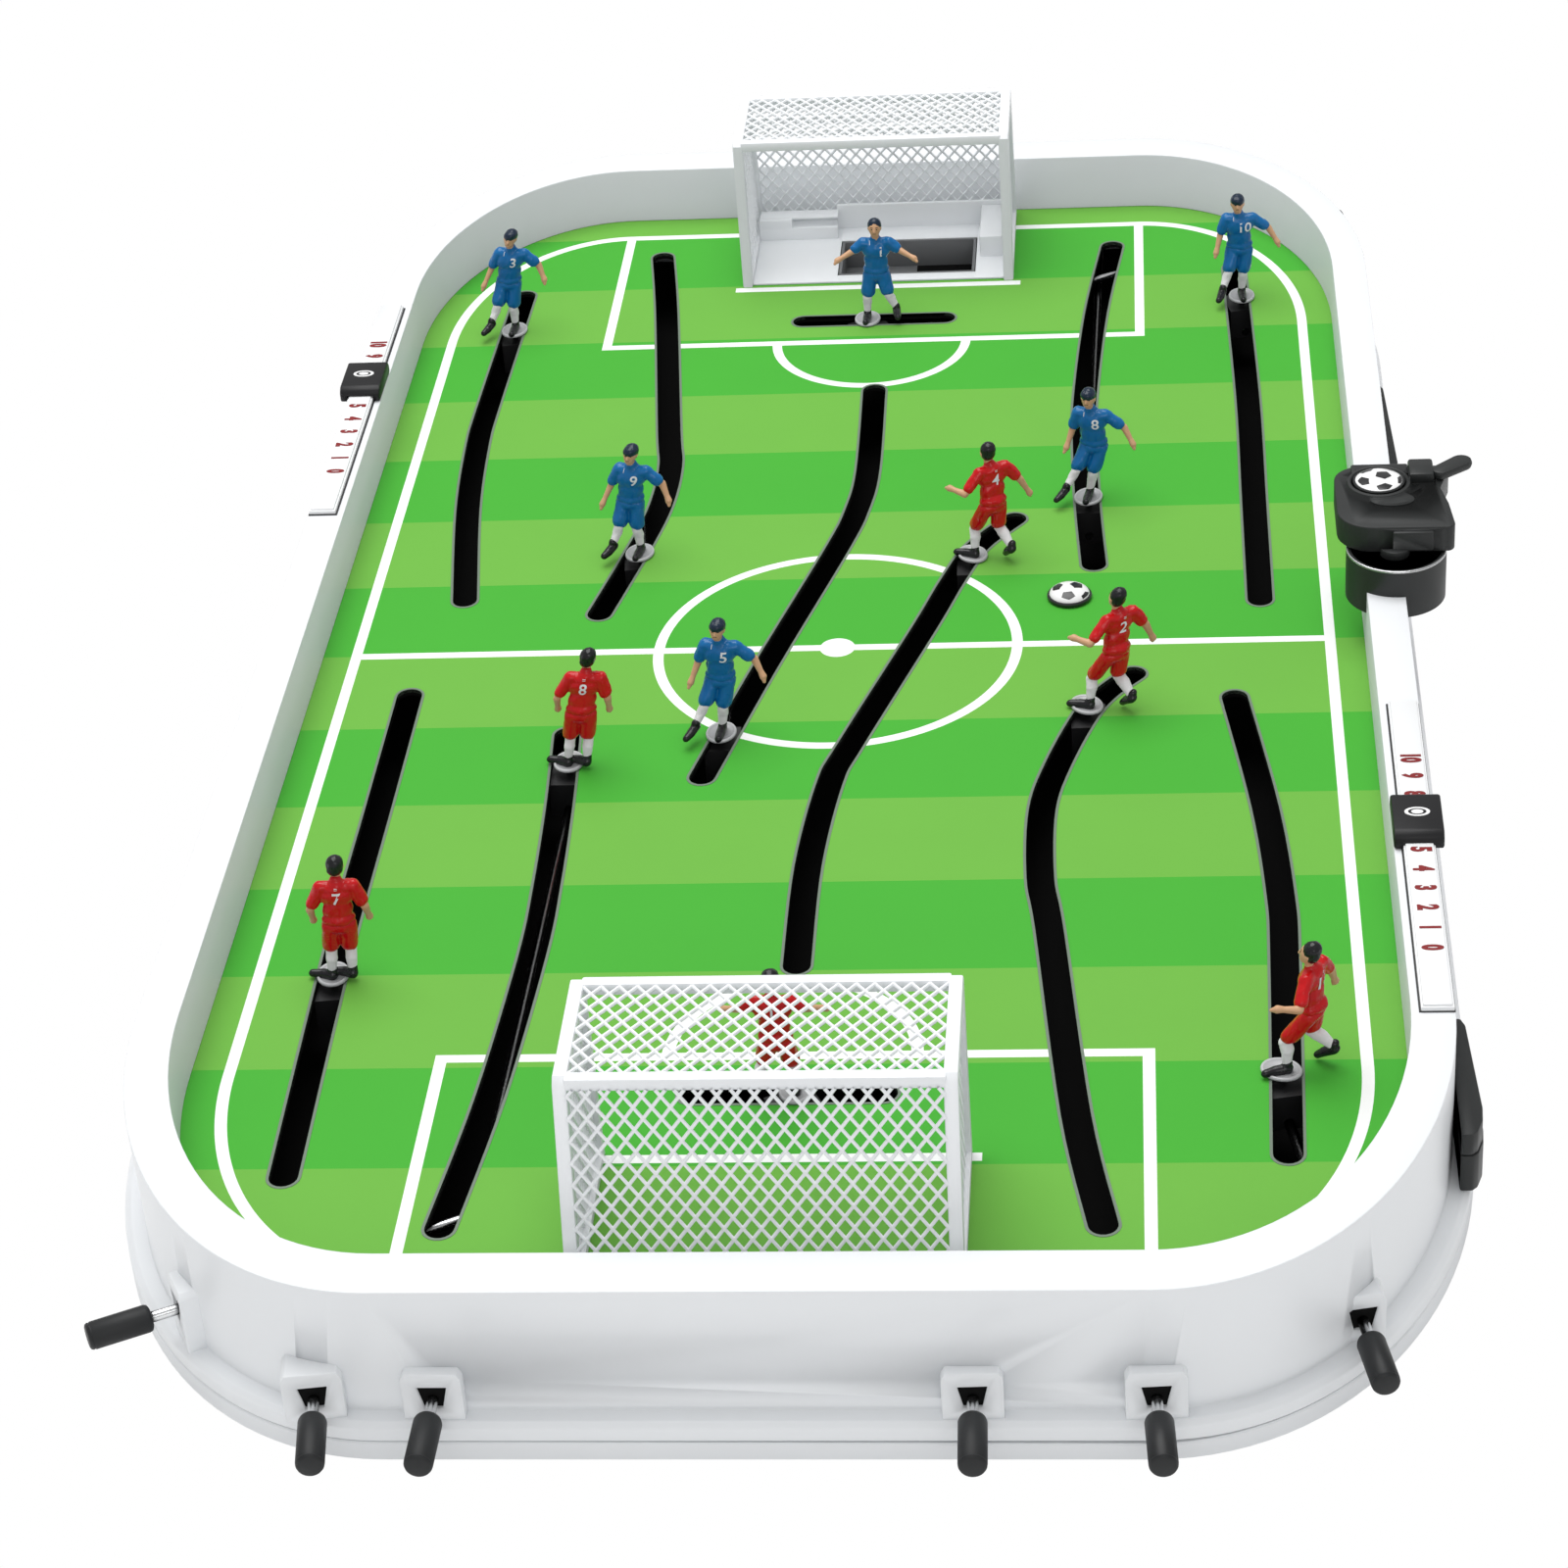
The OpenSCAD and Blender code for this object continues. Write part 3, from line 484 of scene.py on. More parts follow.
printed_pitch = moulded("printed_pitch", LIGHT_GRASS, roughness=0.6, cloud=0.06,
                        grain_scale=900, specular=0.15)
board_tree = printed_pitch.node_tree
pitch_print = board_tree.nodes.new("ShaderNodeGroup")
pitch_print.node_tree = make_pitch_print()
grass = blend_colours(board_tree, pitch_print.outputs["Light stripe"], DARK_GRASS, LIGHT_GRASS)
printed = blend_colours(board_tree, pitch_print.outputs["Line"], grass, LINE_WHITE)
bounce = board_tree.nodes.new("ShaderNodeLightPath")
calm_print = blend_colours(board_tree, bounce.outputs["Is Diffuse Ray"], printed,
                           (0.27, 0.31, 0.27))
link(board_tree, calm_print, board_tree.nodes["mould texture"].inputs["Colour"])

POCKET_X = 14
POCKET_W = 70
POCKET_L = 40
POCKET_Y = HALF_L - 79 - 3 + 9
pocket = [(POCKET_X - POCKET_W / 2, POCKET_Y), (POCKET_X + POCKET_W / 2, POCKET_Y),
          (POCKET_X + POCKET_W / 2, POCKET_Y + POCKET_L),
          (POCKET_X - POCKET_W / 2, POCKET_Y + POCKET_L)]
slots = RED_SLOTS + [half_turn(line) for line in BLUE_SLOTS]


def inside(loop, x, y):
    """Whether a point is inside a closed outline."""
    within = False
    for (ax, ay), (bx, by) in zip(loop, [*loop[1:], loop[0]]):
        if (ay > y) != (by > y) and x < ax + (bx - ax) * (y - ay) / (by - ay):
            within = not within
    return within


def pierced_plate(outer, holes, z0, z1):
    """A plate in mm between two heights with holes cut through."""
    spots, edges = [], []
    for loop in [outer, *holes]:
        first = len(spots)
        spots += [Vector((x, y)) for x, y in loop]
        edges += [(first + i, first + (i + 1) % len(loop)) for i in range(len(loop))]
    points, _, triangles, _, _, _ = geometry.delaunay_2d_cdt(spots, edges, [], 1, 0.001)
    form = bmesh.new()
    low = [form.verts.new((p.x, p.y, z0)) for p in points]
    high = [form.verts.new((p.x, p.y, z1)) for p in points]
    for triangle in triangles:
        x, y = sum((points[i] for i in triangle), Vector((0, 0))) / 3
        if inside(outer, x, y) and not any(inside(hole, x, y) for hole in holes):
            form.faces.new([high[i] for i in triangle]).material_index = 0
            form.faces.new([low[i] for i in triangle]).material_index = 1
    lookup = {tuple(round(c, 2) for c in p): i for i, p in enumerate(points)}
    for a, b in edges:
        i, j = (lookup[tuple(round(c, 2) for c in spots[k])] for k in (a, b))
        form.faces.new((low[i], low[j], high[j], high[i])).material_index = 1
    return form


# The board's underside and slot walls take the second finish, black painted as the shade inside the
# body.
board = pierced_plate(outline(BOARD_LAP, BOARD_LAP),
                      [slot_outline(line, SLOT_W) for line in slots] + [pocket],
                      PITCH_Z - BOARD_T, PITCH_Z)
fit_piece("pitch_green", finish_form(board, "pitch_green"), "body",
          [printed_pitch, painted_shade_black], ["pitch_board"])

LIP_GREY = (0.15, 0.20, 0.15)
lip_grey = moulded("lip_grey", LIP_GREY, roughness=0.4)
for number, line in enumerate(slots):
    lip = bmesh.new()
    rings = []
    for grow, z in ((LIP_W, PITCH_Z - 0.2), (LIP_W, PITCH_Z + LIP_H), (-LIP_LAP, PITCH_Z + LIP_H),
                    (-LIP_LAP, PITCH_Z - 1.5)):
        rings.append([lip.verts.new((p.x, p.y, z))
                      for p in slot_outline(line, SLOT_W + 2 * grow)])
    for low, high in zip(rings, rings[1:]):
        for i in range(len(low)):
            j = (i + 1) % len(low)
            lip.faces.new((low[i], low[j], high[j], high[i]))
    fit_piece(f"slot_lip_{number + 1}", finish_form(lip, "slot_lip"), "body",
              [lip_grey])

# ---- Rim housing -----------------------------------------------------------------------
# Upper half of the body: one white moulding with a wide flat rim, inner and outer walls and a
# flange that drops over the tray. A boss with a tapered window stands out where each rod leaves.
RIM_Z = 76
FLANGE_Z = 23.5
HOUSING_WHITE = (0.83, 0.85, 0.87)
housing_white = moulded("housing_white", HOUSING_WHITE, roughness=0.34, cloud=0.03)


def rounded(profile, radius, steps=3):
    """Rounds the corners of an open profile of (side, end, z) points."""
    result = [profile[0]]
    for before, corner, after in zip(profile, profile[1:], profile[2:]):
        corner_v = Vector(corner)
        start = corner_v + (Vector(before) - corner_v).normalized() * radius
        end = corner_v + (Vector(after) - corner_v).normalized() * radius
        for step in range(steps + 1):
            t = step / steps
            point = start * (1 - t) ** 2 + corner_v * 2 * t * (1 - t) + end * t * t
            result.append(tuple(point))
    return result + [profile[-1]]


flange_side, flange_end = RIM_SIDE + FLANGE_OUT, RIM_END + FLANGE_OUT
housing_profile = rounded([
    (WALL, WALL, PITCH_Z),
    (0, 0, PITCH_Z),
    (0, 0, RIM_Z),
    (RIM_SIDE, RIM_END, RIM_Z),
    (RIM_SIDE, RIM_END, FLANGE_Z),
    (flange_side - 2.4, flange_end - 2.4, FLANGE_Z),
    (flange_side, flange_end, FLANGE_Z - 1.6),
    (flange_side, flange_end, SEAM_Z),
    (flange_side - WALL, flange_end - WALL, SEAM_Z),
], 0.7)
inner_skin = [
    (flange_side - WALL, flange_end - WALL, SEAM_Z),
    (flange_side - WALL, flange_end - WALL, FLANGE_Z - WALL),
    (RIM_SIDE - WALL, RIM_END - WALL, FLANGE_Z - WALL),
    (RIM_SIDE - WALL, RIM_END - WALL, RIM_Z - WALL),
    (WALL, WALL, RIM_Z - WALL),
    (WALL, WALL, PITCH_Z),
]
housing = sweep_plan(housing_profile + inner_skin[1:])
housing_mesh = finish_form(housing, "housing", smooth_angle=40)
housing_piece = fit_piece("housing", housing_mesh, "body", [housing_white],
                          ["rim_housing"])

# Each boss: swivel point of its rod, reach of its face, width.
SWIVELS = {
    "left_wing": ((-154, -447), 11, 21),
    "left_mid": ((-111.5, -447), 11, 21),
    "centre": ((71, -447), 11, 21),
    "right_mid": ((132, -447), 11, 21),
    "right_wing": ((201, -410), 9.5, 16),
    "goalie": ((-199, -413), 9.5, 16),
}
PEGS = {
    "red": {"left_wing": (-181, -236), "left_mid": (-106.5, -89), "centre": (56.5, 75),
            "right_mid": (108, -52), "right_wing": (180, -301), "goalie": (3, -311)},
    "blue": {"left_wing": (-182, -325), "left_mid": (-107.5, -126), "centre": (44.5, 67),
             "right_mid": (94, -84), "right_wing": (180, -309), "goalie": (3, -311)},
}
ROD_Z = 31.5
GOALIE_ROD_Z = 37.5
BOSS_TOP = 43
WINDOW = [(-3.25, -3), (3.25, -3), (5.25, 6), (-5.25, 6)]


def rod_axes(team, role):
    """Matrix in mm with its origin at a rod's swivel point and -Y pointing out along the rod."""
    swivel, _, _ = SWIVELS[role]
    peg = PEGS[team][role]
    outward = Vector(swivel) - Vector(peg)
    z = GOALIE_ROD_Z if role == "goalie" else ROD_Z
    turn = Matrix.Rotation(math.atan2(outward.y, outward.x) + math.pi / 2, 4, "Z")
    place = Matrix.Translation((*swivel, z)) @ turn
    return Matrix.Rotation(math.pi, 4, "Z") @ place if team == "blue" else place


def prism(points, y0, y1):
    """A solid with an (x, z) outline, from y0 to y1."""
    form = bmesh.new()
    near = [form.verts.new((x, y0, z)) for x, z in points]
    far = [form.verts.new((x, y1, z)) for x, z in points]
    form.faces.new(near)
    form.faces.new(far)
    for i in range(len(near)):
        j = (i + 1) % len(near)
        form.faces.new((near[i], near[j], far[j], far[i]))
    bmesh.ops.recalc_face_normals(form, faces=form.faces)
    return form


def cut_from(target, cutter_form, place, overlapping=False):
    """Cuts a solid out of a piece's mesh for good; overlapping if it is made of several."""
    cutter_form.transform(place)
    cutter_mesh = finish_form(cutter_form, "cutter")
    cutter = bpy.data.objects.new("cutter", cutter_mesh)
    bpy.context.scene.collection.objects.link(cutter)
    cut = target.modifiers.new("window", "BOOLEAN")
    cut.operation = "DIFFERENCE"
    cut.solver = "EXACT"
    cut.use_self = overlapping
    cut.object = cutter
    bpy.context.view_layer.update()
    shown = target.evaluated_get(bpy.context.evaluated_depsgraph_get())
    mesh = bpy.data.meshes.new_from_object(shown)
    target.modifiers.remove(cut)
    target.data = mesh
    bpy.data.objects.remove(cutter)


def boss_form(role):
    """A boss as a solid bevelled block on the wall, out to the reach of its face."""
    _, reach, width = SWIVELS[role]
    z = GOALIE_ROD_Z if role == "goalie" else ROD_Z
    top = BOSS_TOP + (6 if role == "goalie" else 0) - z
    foot = FLANGE_Z - z - 0.5
    half = width / 2
    inward = 9 if width < 20 else 2
    form = bmesh.new()
    front = [form.verts.new(p) for p in (
        (-half, -reach, foot), (half, -reach, foot), (half, -reach, top - 2.5),
        (half - 1.5, -reach + 0.6, top), (1.5 - half, -reach + 0.6, top),
        (-half, -reach, top - 2.5))]
    back = [form.verts.new(p) for p in (
        (-half, inward, foot), (half, inward, foot), (half, inward, top - 2.5),
        (half - 1.5, inward, top), (1.5 - half, inward, top), (-half, inward, top - 2.5))]
    form.faces.new(front)
    form.faces.new(back)
    for i in range(6):
        j = (i + 1) % 6
        form.faces.new((front[i], front[j], back[j], back[i]))
    bmesh.ops.recalc_face_normals(form, faces=form.faces)
    bmesh.ops.bevel(form, geom=[e for e in form.edges], offset=0.5, segments=2,
                    affect="EDGES", profile=0.5)
    return form


for team in ("red", "blue"):
    for role in SWIVELS:
        _, reach, width = SWIVELS[role]
        axes = rod_axes(team, role)
        window = prism(WINDOW, -reach - 3, 4)
        cut_from(housing_piece, window, axes)
        block = boss_form(role)
        block.transform(axes)
        boss = fit_piece(f"{team}_{role}_boss", finish_form(block, "boss"), "body",
                         [housing_white, painted_shade_black])
        cut_from(boss, prism(WINDOW, -reach - 3, 10), axes)
        # Behind each window a black box is painted in as the shade inside the wall.
        recess = prism([(x * 1.25, z * 1.2) for x, z in WINDOW], -reach + 1.2, 1)
        recess.transform(axes)
        bmesh.ops.reverse_faces(recess, faces=recess.faces)
        fit_piece(f"{team}_{role}_window_painted_shade", finish_form(recess, "window_painted_shade"), "body",
                  [painted_shade_black])

# ---- Rods and hand grips ---------------------------------------------------------------
# A polished steel rod for each player, with a pressed-on charcoal grip outside the wall and a
# pinion in the carriage that turns the figure.
ROD_R = 2
GEAR_D = 7.4
GOALIE_GEAR_D = 5.2
GRIP_R = 5
GRIP_L = 23
GRIP_GAP = 9
GRIP_CHARCOAL = (0.016, 0.017, 0.018)
steel = bpy.data.materials.new("polished_steel")
steel.use_nodes = True
steel_tree = steel.node_tree
steel_shader = steel_tree.nodes["Principled BSDF"]
steel_shader.inputs["Metallic"].default_value = 1
drawn = steel_tree.nodes.new("ShaderNodeTexNoise")
drawn.inputs["Scale"].default_value = 700
drawn_place = steel_tree.nodes.new("ShaderNodeTexCoord")
link(steel_tree, drawn_place.outputs["Object"], drawn.inputs["Vector"])
drawn_rough = steel_tree.nodes.new("ShaderNodeMapRange")
drawn_rough.inputs["To Min"].default_value = 0.12
drawn_rough.inputs["To Max"].default_value = 0.3
link(steel_tree, drawn.outputs["Fac"], drawn_rough.inputs["Value"])
link(steel_tree, drawn_rough.outputs["Result"], steel_shader.inputs["Roughness"])
steel_tone = blend_colours(steel_tree, drawn.outputs["Fac"], (0.78, 0.79, 0.80), (0.88, 0.89, 0.90))
# The steel's colour is painted near black where ambient occlusion finds it shut in under the board:
# painted shade, not dirt on the rod.
shut_in = steel_tree.nodes.new("ShaderNodeAmbientOcclusion")
shut_in.inputs["Distance"].default_value = 0.05
rod_painted_shade = steel_tree.nodes.new("ShaderNodeMapRange")
rod_painted_shade.inputs["From Min"].default_value = 0.42
rod_painted_shade.inputs["From Max"].default_value = 0.6
link(steel_tree, shut_in.outputs["AO"], rod_painted_shade.inputs["Value"])
link(steel_tree, blend_colours(steel_tree, rod_painted_shade.outputs["Result"], (0.006, 0.006, 0.006),
                               steel_tone), steel_shader.inputs["Base Color"])
grip_charcoal = moulded("grip_charcoal", GRIP_CHARCOAL, roughness=0.5, cloud=0.3,
                        grain_scale=1500, grain_depth=0.00004, specular=0.3)


def gear_wheel(outer, root, thick, teeth):
    """A toothed wheel about -Y, thick mm along it, from the origin."""
    points = []
    for k in range(teeth):
        for share, radius in ((0.0, root), (0.22, root), (0.36, outer), (0.64, outer),
                              (0.78, root)):
            a = 2 * math.pi * (k + share) / teeth
            points.append((radius * math.cos(a), radius * math.sin(a)))
    return prism(points, 0, -thick)


for team in ("red", "blue"):
    for role in SWIVELS:
        swivel, reach, _ = SWIVELS[role]
        axes = rod_axes(team, role)
        inward = (Vector(swivel) - Vector(PEGS[team][role])).length
        start = reach + GRIP_GAP
        shaft = turned([(0, -inward - 8), (ROD_R, -inward - 8), (ROD_R, start + 2), (0, start + 2)])
        shaft.transform(axes)
        fit_piece(f"{team}_{role}_rod_steel", finish_form(shaft, "rod"), f"{team}_{role}_rod",
                  [steel], [f"{team}_{role}_rod"])
        gear_d = GOALIE_GEAR_D if role == "goalie" else GEAR_D
        pinion = gear_wheel(gear_d / 2, gear_d / 2 - 0.9, 3, 14)
        pinion.transform(axes @ Matrix.Translation((0, inward + 1.5, 0)))
        fit_piece(f"{team}_{role}_pinion", finish_form(pinion, "pinion"), f"{team}_{role}_rod",
                  [acetal_and_shadow_black])
        grip = turned([(0, start), (ROD_R + 1.2, start), (GRIP_R - 1.2, start + 0.2),
                       (GRIP_R - 0.35, start + 0.7), (GRIP_R, start + 1.8),
                       (GRIP_R, start + GRIP_L - 2.0), (GRIP_R - 0.25, start + GRIP_L - 1.7),
                       (GRIP_R - 0.25, start + GRIP_L - 1.3), (GRIP_R - 0.1, start + GRIP_L - 1.1),
                       (GRIP_R - 0.5, start + GRIP_L - 0.3), (GRIP_R - 1.1, start + GRIP_L),
                       (0, start + GRIP_L)])
        grip.transform(axes)
        fit_piece(f"{team}_{role}_grip", finish_form(grip, "grip", 50), f"{team}_{role}_rod",
                  [grip_charcoal])

# ---- Side clips ------------------------------------------------------------------------
# Four charcoal clips along the long sides that lock the housing onto the tray, each thicker
# towards one end, with a crease along its face.
CLIPS = [(175, 97, 5), (-307, 68, 6.5)]
CLIP_SWELL = 2.5
CLIP_H = 26
CHARCOAL = (0.021, 0.023, 0.023)
charcoal_plastic = moulded("charcoal_plastic", CHARCOAL, roughness=0.5, cloud=0.3,
                           grain_scale=1400, grain_depth=0.00003, specular=0.35)


def softened(form, offset, segments=2):
    """Rounds every edge of a solid."""
    bmesh.ops.recalc_face_normals(form, faces=form.faces)
    bmesh.ops.bevel(form, geom=list(form.edges), offset=offset, segments=segments,
                    affect="EDGES", profile=0.5, clamp_overlap=True)
    return form


def gathered(forms):
    """Several solids in one bmesh."""
    whole = bmesh.new()
    for form in forms:
        part = bpy.data.meshes.new("part")
        form.to_mesh(part)
        form.free()
        whole.from_mesh(part)
        bpy.data.meshes.remove(part)
    return whole


clip_forms = []
for turn in (0, math.pi):
    for middle, length, thick in CLIPS:
        face = thick + CLIP_SWELL
        plan = [(0, length / 2), (thick - 1.5, length / 2), (thick, length / 2 - 4),
                (face, -length * 0.27), (face - 0.5, -length * 0.38), (thick, 2 - length / 2),
                (thick - 2, -length / 2), (0, -length / 2)]
        for z0, z1, inset in ((0.3, CLIP_H * 0.62, 0), (CLIP_H * 0.62 + 0.5, CLIP_H, 0.5)):
            clip = slab([(x - inset if x else 0, y) for x, y in plan], FLANGE_Z + z0,
                        FLANGE_Z + z1 + 0.3)
            softened(clip, 0.8)
            clip.transform(Matrix.Rotation(turn, 4, "Z")
                           @ Matrix.Translation((HALF_W + RIM_SIDE, middle, 0)))
            clip_forms.append(clip)
        core = slab([(max(0, x - 1.2), y * 0.97) for x, y in plan], FLANGE_Z + 1, FLANGE_Z + CLIP_H)
        core.transform(Matrix.Rotation(turn, 4, "Z")
                       @ Matrix.Translation((HALF_W + RIM_SIDE, middle, 0)))
        clip_forms.append(core)
fit_piece("clips", finish_form(gathered(clip_forms), "clips"), "body",
          [charcoal_plastic], ["side_clips"])

# ---- Goals -----------------------------------------------------------------------------
# One white moulding each: square-section frame with softened edges, a diamond lattice for the
# net on the top, back and sides. The far one also has a floor with a pocket for the ball.
GOAL_W = 137
GOAL_H = 79
GOAL_TOP_L = 59
NEAR_GOAL_IN = 6.5
GOAL_FLOOR_L = 79
POST_T = 5
NET_CELL_W = 6.35
NET_CELL_H = 8.2
STRAND_W = 1.35
NET_WHITE = (0.88, 0.90, 0.92)
POCKET_SHADE_GREY = (0.17, 0.175, 0.18)
goal_white = moulded("goal_white", NET_WHITE, roughness=0.36, cloud=0.02)
pocket_painted_shade = moulded("pocket_painted_shade", POCKET_SHADE_GREY, roughness=0.6, cloud=0.1)


def upright(form, x):
    """Stands a flat plate up as a goal side: its X becomes depth, its Y height, its Z across."""
    form.transform(Matrix.Translation((x, 0, 0)) @ Matrix(
        ((0, 0, 1, 0), (1, 0, 0, 0), (0, 1, 0, 0), (0, 0, 0, 1))))
    return form


def block(low, high, edge=0.6):
    form = bmesh.new()
    size = [b - a for a, b in zip(low, high)]
    centre = [(a + b) / 2 for a, b in zip(low, high)]
    bmesh.ops.create_cube(form, size=1, matrix=Matrix.Translation(centre)
                          @ Matrix.Diagonal((*size, 1)))
    return softened(form, edge) if edge else form


def strand(form, a, b, thick):
    """One net strand: a flattened six-sided bar between two points of a panel's plane."""
    along = (b - a).normalized()
    across = Vector((-along.y, along.x, 0)) * STRAND_W / 2
    up = Vector((0, 0, thick / 2))
    ring = [across, across * 0.55 + up, across * -0.55 + up, -across, across * -0.55 - up,
            across * 0.55 - up]
    ends = [[form.verts.new(p + r) for r in ring] for p in (a - along * 0.8, b + along * 0.8)]
    for k in range(6):
        n = (k + 1) % 6
        form.faces.new((ends[0][k], ends[0][n], ends[1][n], ends[1][k]))


def lattice(corners, cell_w=NET_CELL_W, cell_h=NET_CELL_H, thick=1.2):
    """Diamond net over a convex panel given by its corners (x, y)."""
    form = bmesh.new()
    xs, ys = [c[0] for c in corners], [c[1] for c in corners]
    middle = (min(xs) + max(xs)) / 2
    reach = int((max(xs) - min(xs)) / cell_w + (max(ys) - min(ys)) / cell_h) + 2
    for lean in (1, -1):
        for k in range(-reach, reach + 1):
            start = Vector((middle + k * cell_w, min(ys), 0))
            step = Vector((lean * cell_w, cell_h, 0))
            inside, outside = -1e9, 1e9
            for (ax, ay), (bx, by) in zip(corners, corners[1:] + corners[:1]):
                edge_n = Vector((ay - by, bx - ax, 0))
                depth = edge_n.dot(start - Vector((ax, ay, 0)))
                rate = edge_n.dot(step)
                if abs(rate) < 1e-9:
                    if depth < 0:
                        inside = 1e9
                elif rate > 0:
                    inside = max(inside, -depth / rate)
                else:
                    outside = min(outside, -depth / rate)
            if outside - inside > 0.05:
                strand(form, start + step * inside, start + step * outside,
                       thick + 0.12 * lean)
    return form


def make_goal(side_name, node_name, turn, inset, has_pocket):
    half = GOAL_W / 2
    inner = half - POST_T
    lean = math.atan2(GOAL_FLOOR_L - GOAL_TOP_L, GOAL_H)
    side = [(0, 0), (GOAL_FLOOR_L, 0), (GOAL_TOP_L, GOAL_H - 2.5), (GOAL_TOP_L - 2.5, GOAL_H),
            (2, GOAL_H), (0, GOAL_H - 2)]
    hole = [(POST_T, 3.5), (GOAL_FLOOR_L - POST_T * 1.4, 3.5),
            (GOAL_TOP_L - POST_T - 0.3, GOAL_H - POST_T), (POST_T, GOAL_H - POST_T)]
    forms = [
        upright(flat_plate("goal_side", side, [hole], x - POST_T / 2, x + POST_T / 2, 0.7), 0)
        for x in (POST_T / 2 - half, half - POST_T / 2)]
    forms.append(block((-inner - 1, 0, GOAL_H - POST_T), (inner + 1, POST_T, GOAL_H), 0.9))
    forms.append(block((-inner - 1, GOAL_TOP_L - POST_T, GOAL_H - POST_T),
                       (inner + 1, GOAL_TOP_L, GOAL_H), 0.9))
    top_net = lattice([(-inner, POST_T), (inner, POST_T), (inner, GOAL_TOP_L - POST_T),
                       (-inner, GOAL_TOP_L - POST_T)])
    top_net.transform(Matrix.Translation((0, 0, GOAL_H - 1.2)))
    back_h = math.hypot(GOAL_H, GOAL_FLOOR_L - GOAL_TOP_L)
    back_net = lattice([(-inner, 1), (inner, 1), (inner, back_h - POST_T),
                        (-inner, back_h - POST_T)])
    back_net.transform(Matrix.Translation((0, GOAL_FLOOR_L - 0.9, 0))
                       @ Matrix.Rotation(math.pi / 2 + lean, 4, "X"))
    forms += [top_net, back_net]
    for x in (POST_T / 2 - half, half - POST_T / 2):
        forms.append(upright(lattice(hole), x))
    forms.append(block((-inner - 1, GOAL_FLOOR_L - 4, 0.02),
                       (inner + 1, GOAL_FLOOR_L - 0.5, 3), 0.5))
    floor_x0, floor_x1 = POCKET_X - POCKET_W / 2, POCKET_X + POCKET_W / 2
    floor_y0, floor_y1 = 9, 9 + POCKET_L
    if has_pocket:
        forms += [
            block((-inner, 2, 0.02), (floor_x0, GOAL_FLOOR_L - 4, 1), 0.2),
            block((floor_x1, 2, 0.02), (inner, GOAL_FLOOR_L - 4, 1), 0.2),
            block((floor_x0 - 0.1, floor_y1, 0.02), (floor_x1 + 0.1, GOAL_FLOOR_L - 4, 1), 0.2),
            block((floor_x0 - 0.1, 2, 0.02), (floor_x1 + 0.1, floor_y0, 1), 0.2),
            block((-inner, 52, 0.5), (floor_x0 - 2, 55, 7.5), 0.5),
            block((-inner, 52, 7), (-inner + 17, 55, 12), 0.5),
            block((-inner, 55, 10.9), (floor_x0 - 2, 64, 12), 0.4),
            block((floor_x1 + 2, 26, 0.5), (inner, 64, 12), 0.6),
            block((floor_x0 - 3, 64, 0.5), (inner, 66.5, 14), 0.5),
        ]
    place = Matrix.Rotation(turn, 4, "Z") @ Matrix.Translation(
        (0, HALF_L - GOAL_FLOOR_L - 3 - inset, PITCH_Z))
    whole = gathered(forms)
    whole.transform(place)
    fit_piece(f"{side_name}_goal_frame", finish_form(whole, "goal", 40), "body",
              [goal_white], [node_name])
    if not has_pocket:
        return
    # The ball well is painted dark grey as the shade down inside the pocket.
    low = -15
    x0, x1, y0, y1 = floor_x0 + 0.4, floor_x1 - 0.4, floor_y0 + 0.4, floor_y1 - 0.4
    well = gathered([
        block((x0, y0, low), (x1, y0 + 1.5, 0.9), 0.2),
        block((x0, y1 - 1.5, low), (x1, y1, 0.9), 0.2),
        block((x0, y0 + 0.6, low), (x0 + 1.5, y1 - 0.6, 0.9), 0.2),
        block((x1 - 1.5, y0 + 0.6, low), (x1, y1 - 0.6, 0.9), 0.2),
        block((x0 + 0.2, y0 + 0.2, low), (x1 - 0.2, y1 - 0.2, low + 1.5), 0.2),
    ])
    well.transform(place)
    fit_piece(f"{side_name}_goal_well", finish_form(well, "goal_well"), "body",
              [pocket_painted_shade])
    # A black plate near the well's bottom is painted shade deep in the pocket.
    chute = block((x0 + 38, y1 - 16, low + 1), (x1 - 3, y1 - 1.7, low + 1.7), 0.2)
    chute.transform(place)
    fit_piece(f"{side_name}_goal_chute", finish_form(chute, "goal_chute"), "body",
              [painted_shade_black])


make_goal("far", "far_goal", 0, 0, True)
make_goal("near", "near_goal", math.pi, NEAR_GOAL_IN, False)

# ---- Score rails and sliders -----------------------------------------------------------
# White rails stuck along both rims with red counting digits, each with a black block that
# straddles it and is pushed along; a plain white disc and ring mark the block's top.
SCORE_L = 204
SCORE_W = 12
SCORE_T = 3
RAIL_X = HALF_W + RIM_SIDE / 2 + 1.5
SLIDER_W = 19
SLIDER_L = 30
SLIDER_H = 7
DIGIT_RED = (0.22, 0.003, 0.004)
SLIDER_BLACK = (0.008, 0.008, 0.009)
rail_white = moulded("rail_white", (0.86, 0.87, 0.88), roughness=0.32, cloud=0.02)
digit_red = moulded("digit_red", DIGIT_RED, roughness=0.4, cloud=0.3)
slider_black = moulded("slider_black", SLIDER_BLACK, roughness=0.42, cloud=0.3,
                       grain_scale=1300, grain_depth=0.00003, specular=0.3)
mark_white = moulded("mark_white", (0.85, 0.85, 0.85), roughness=0.4)


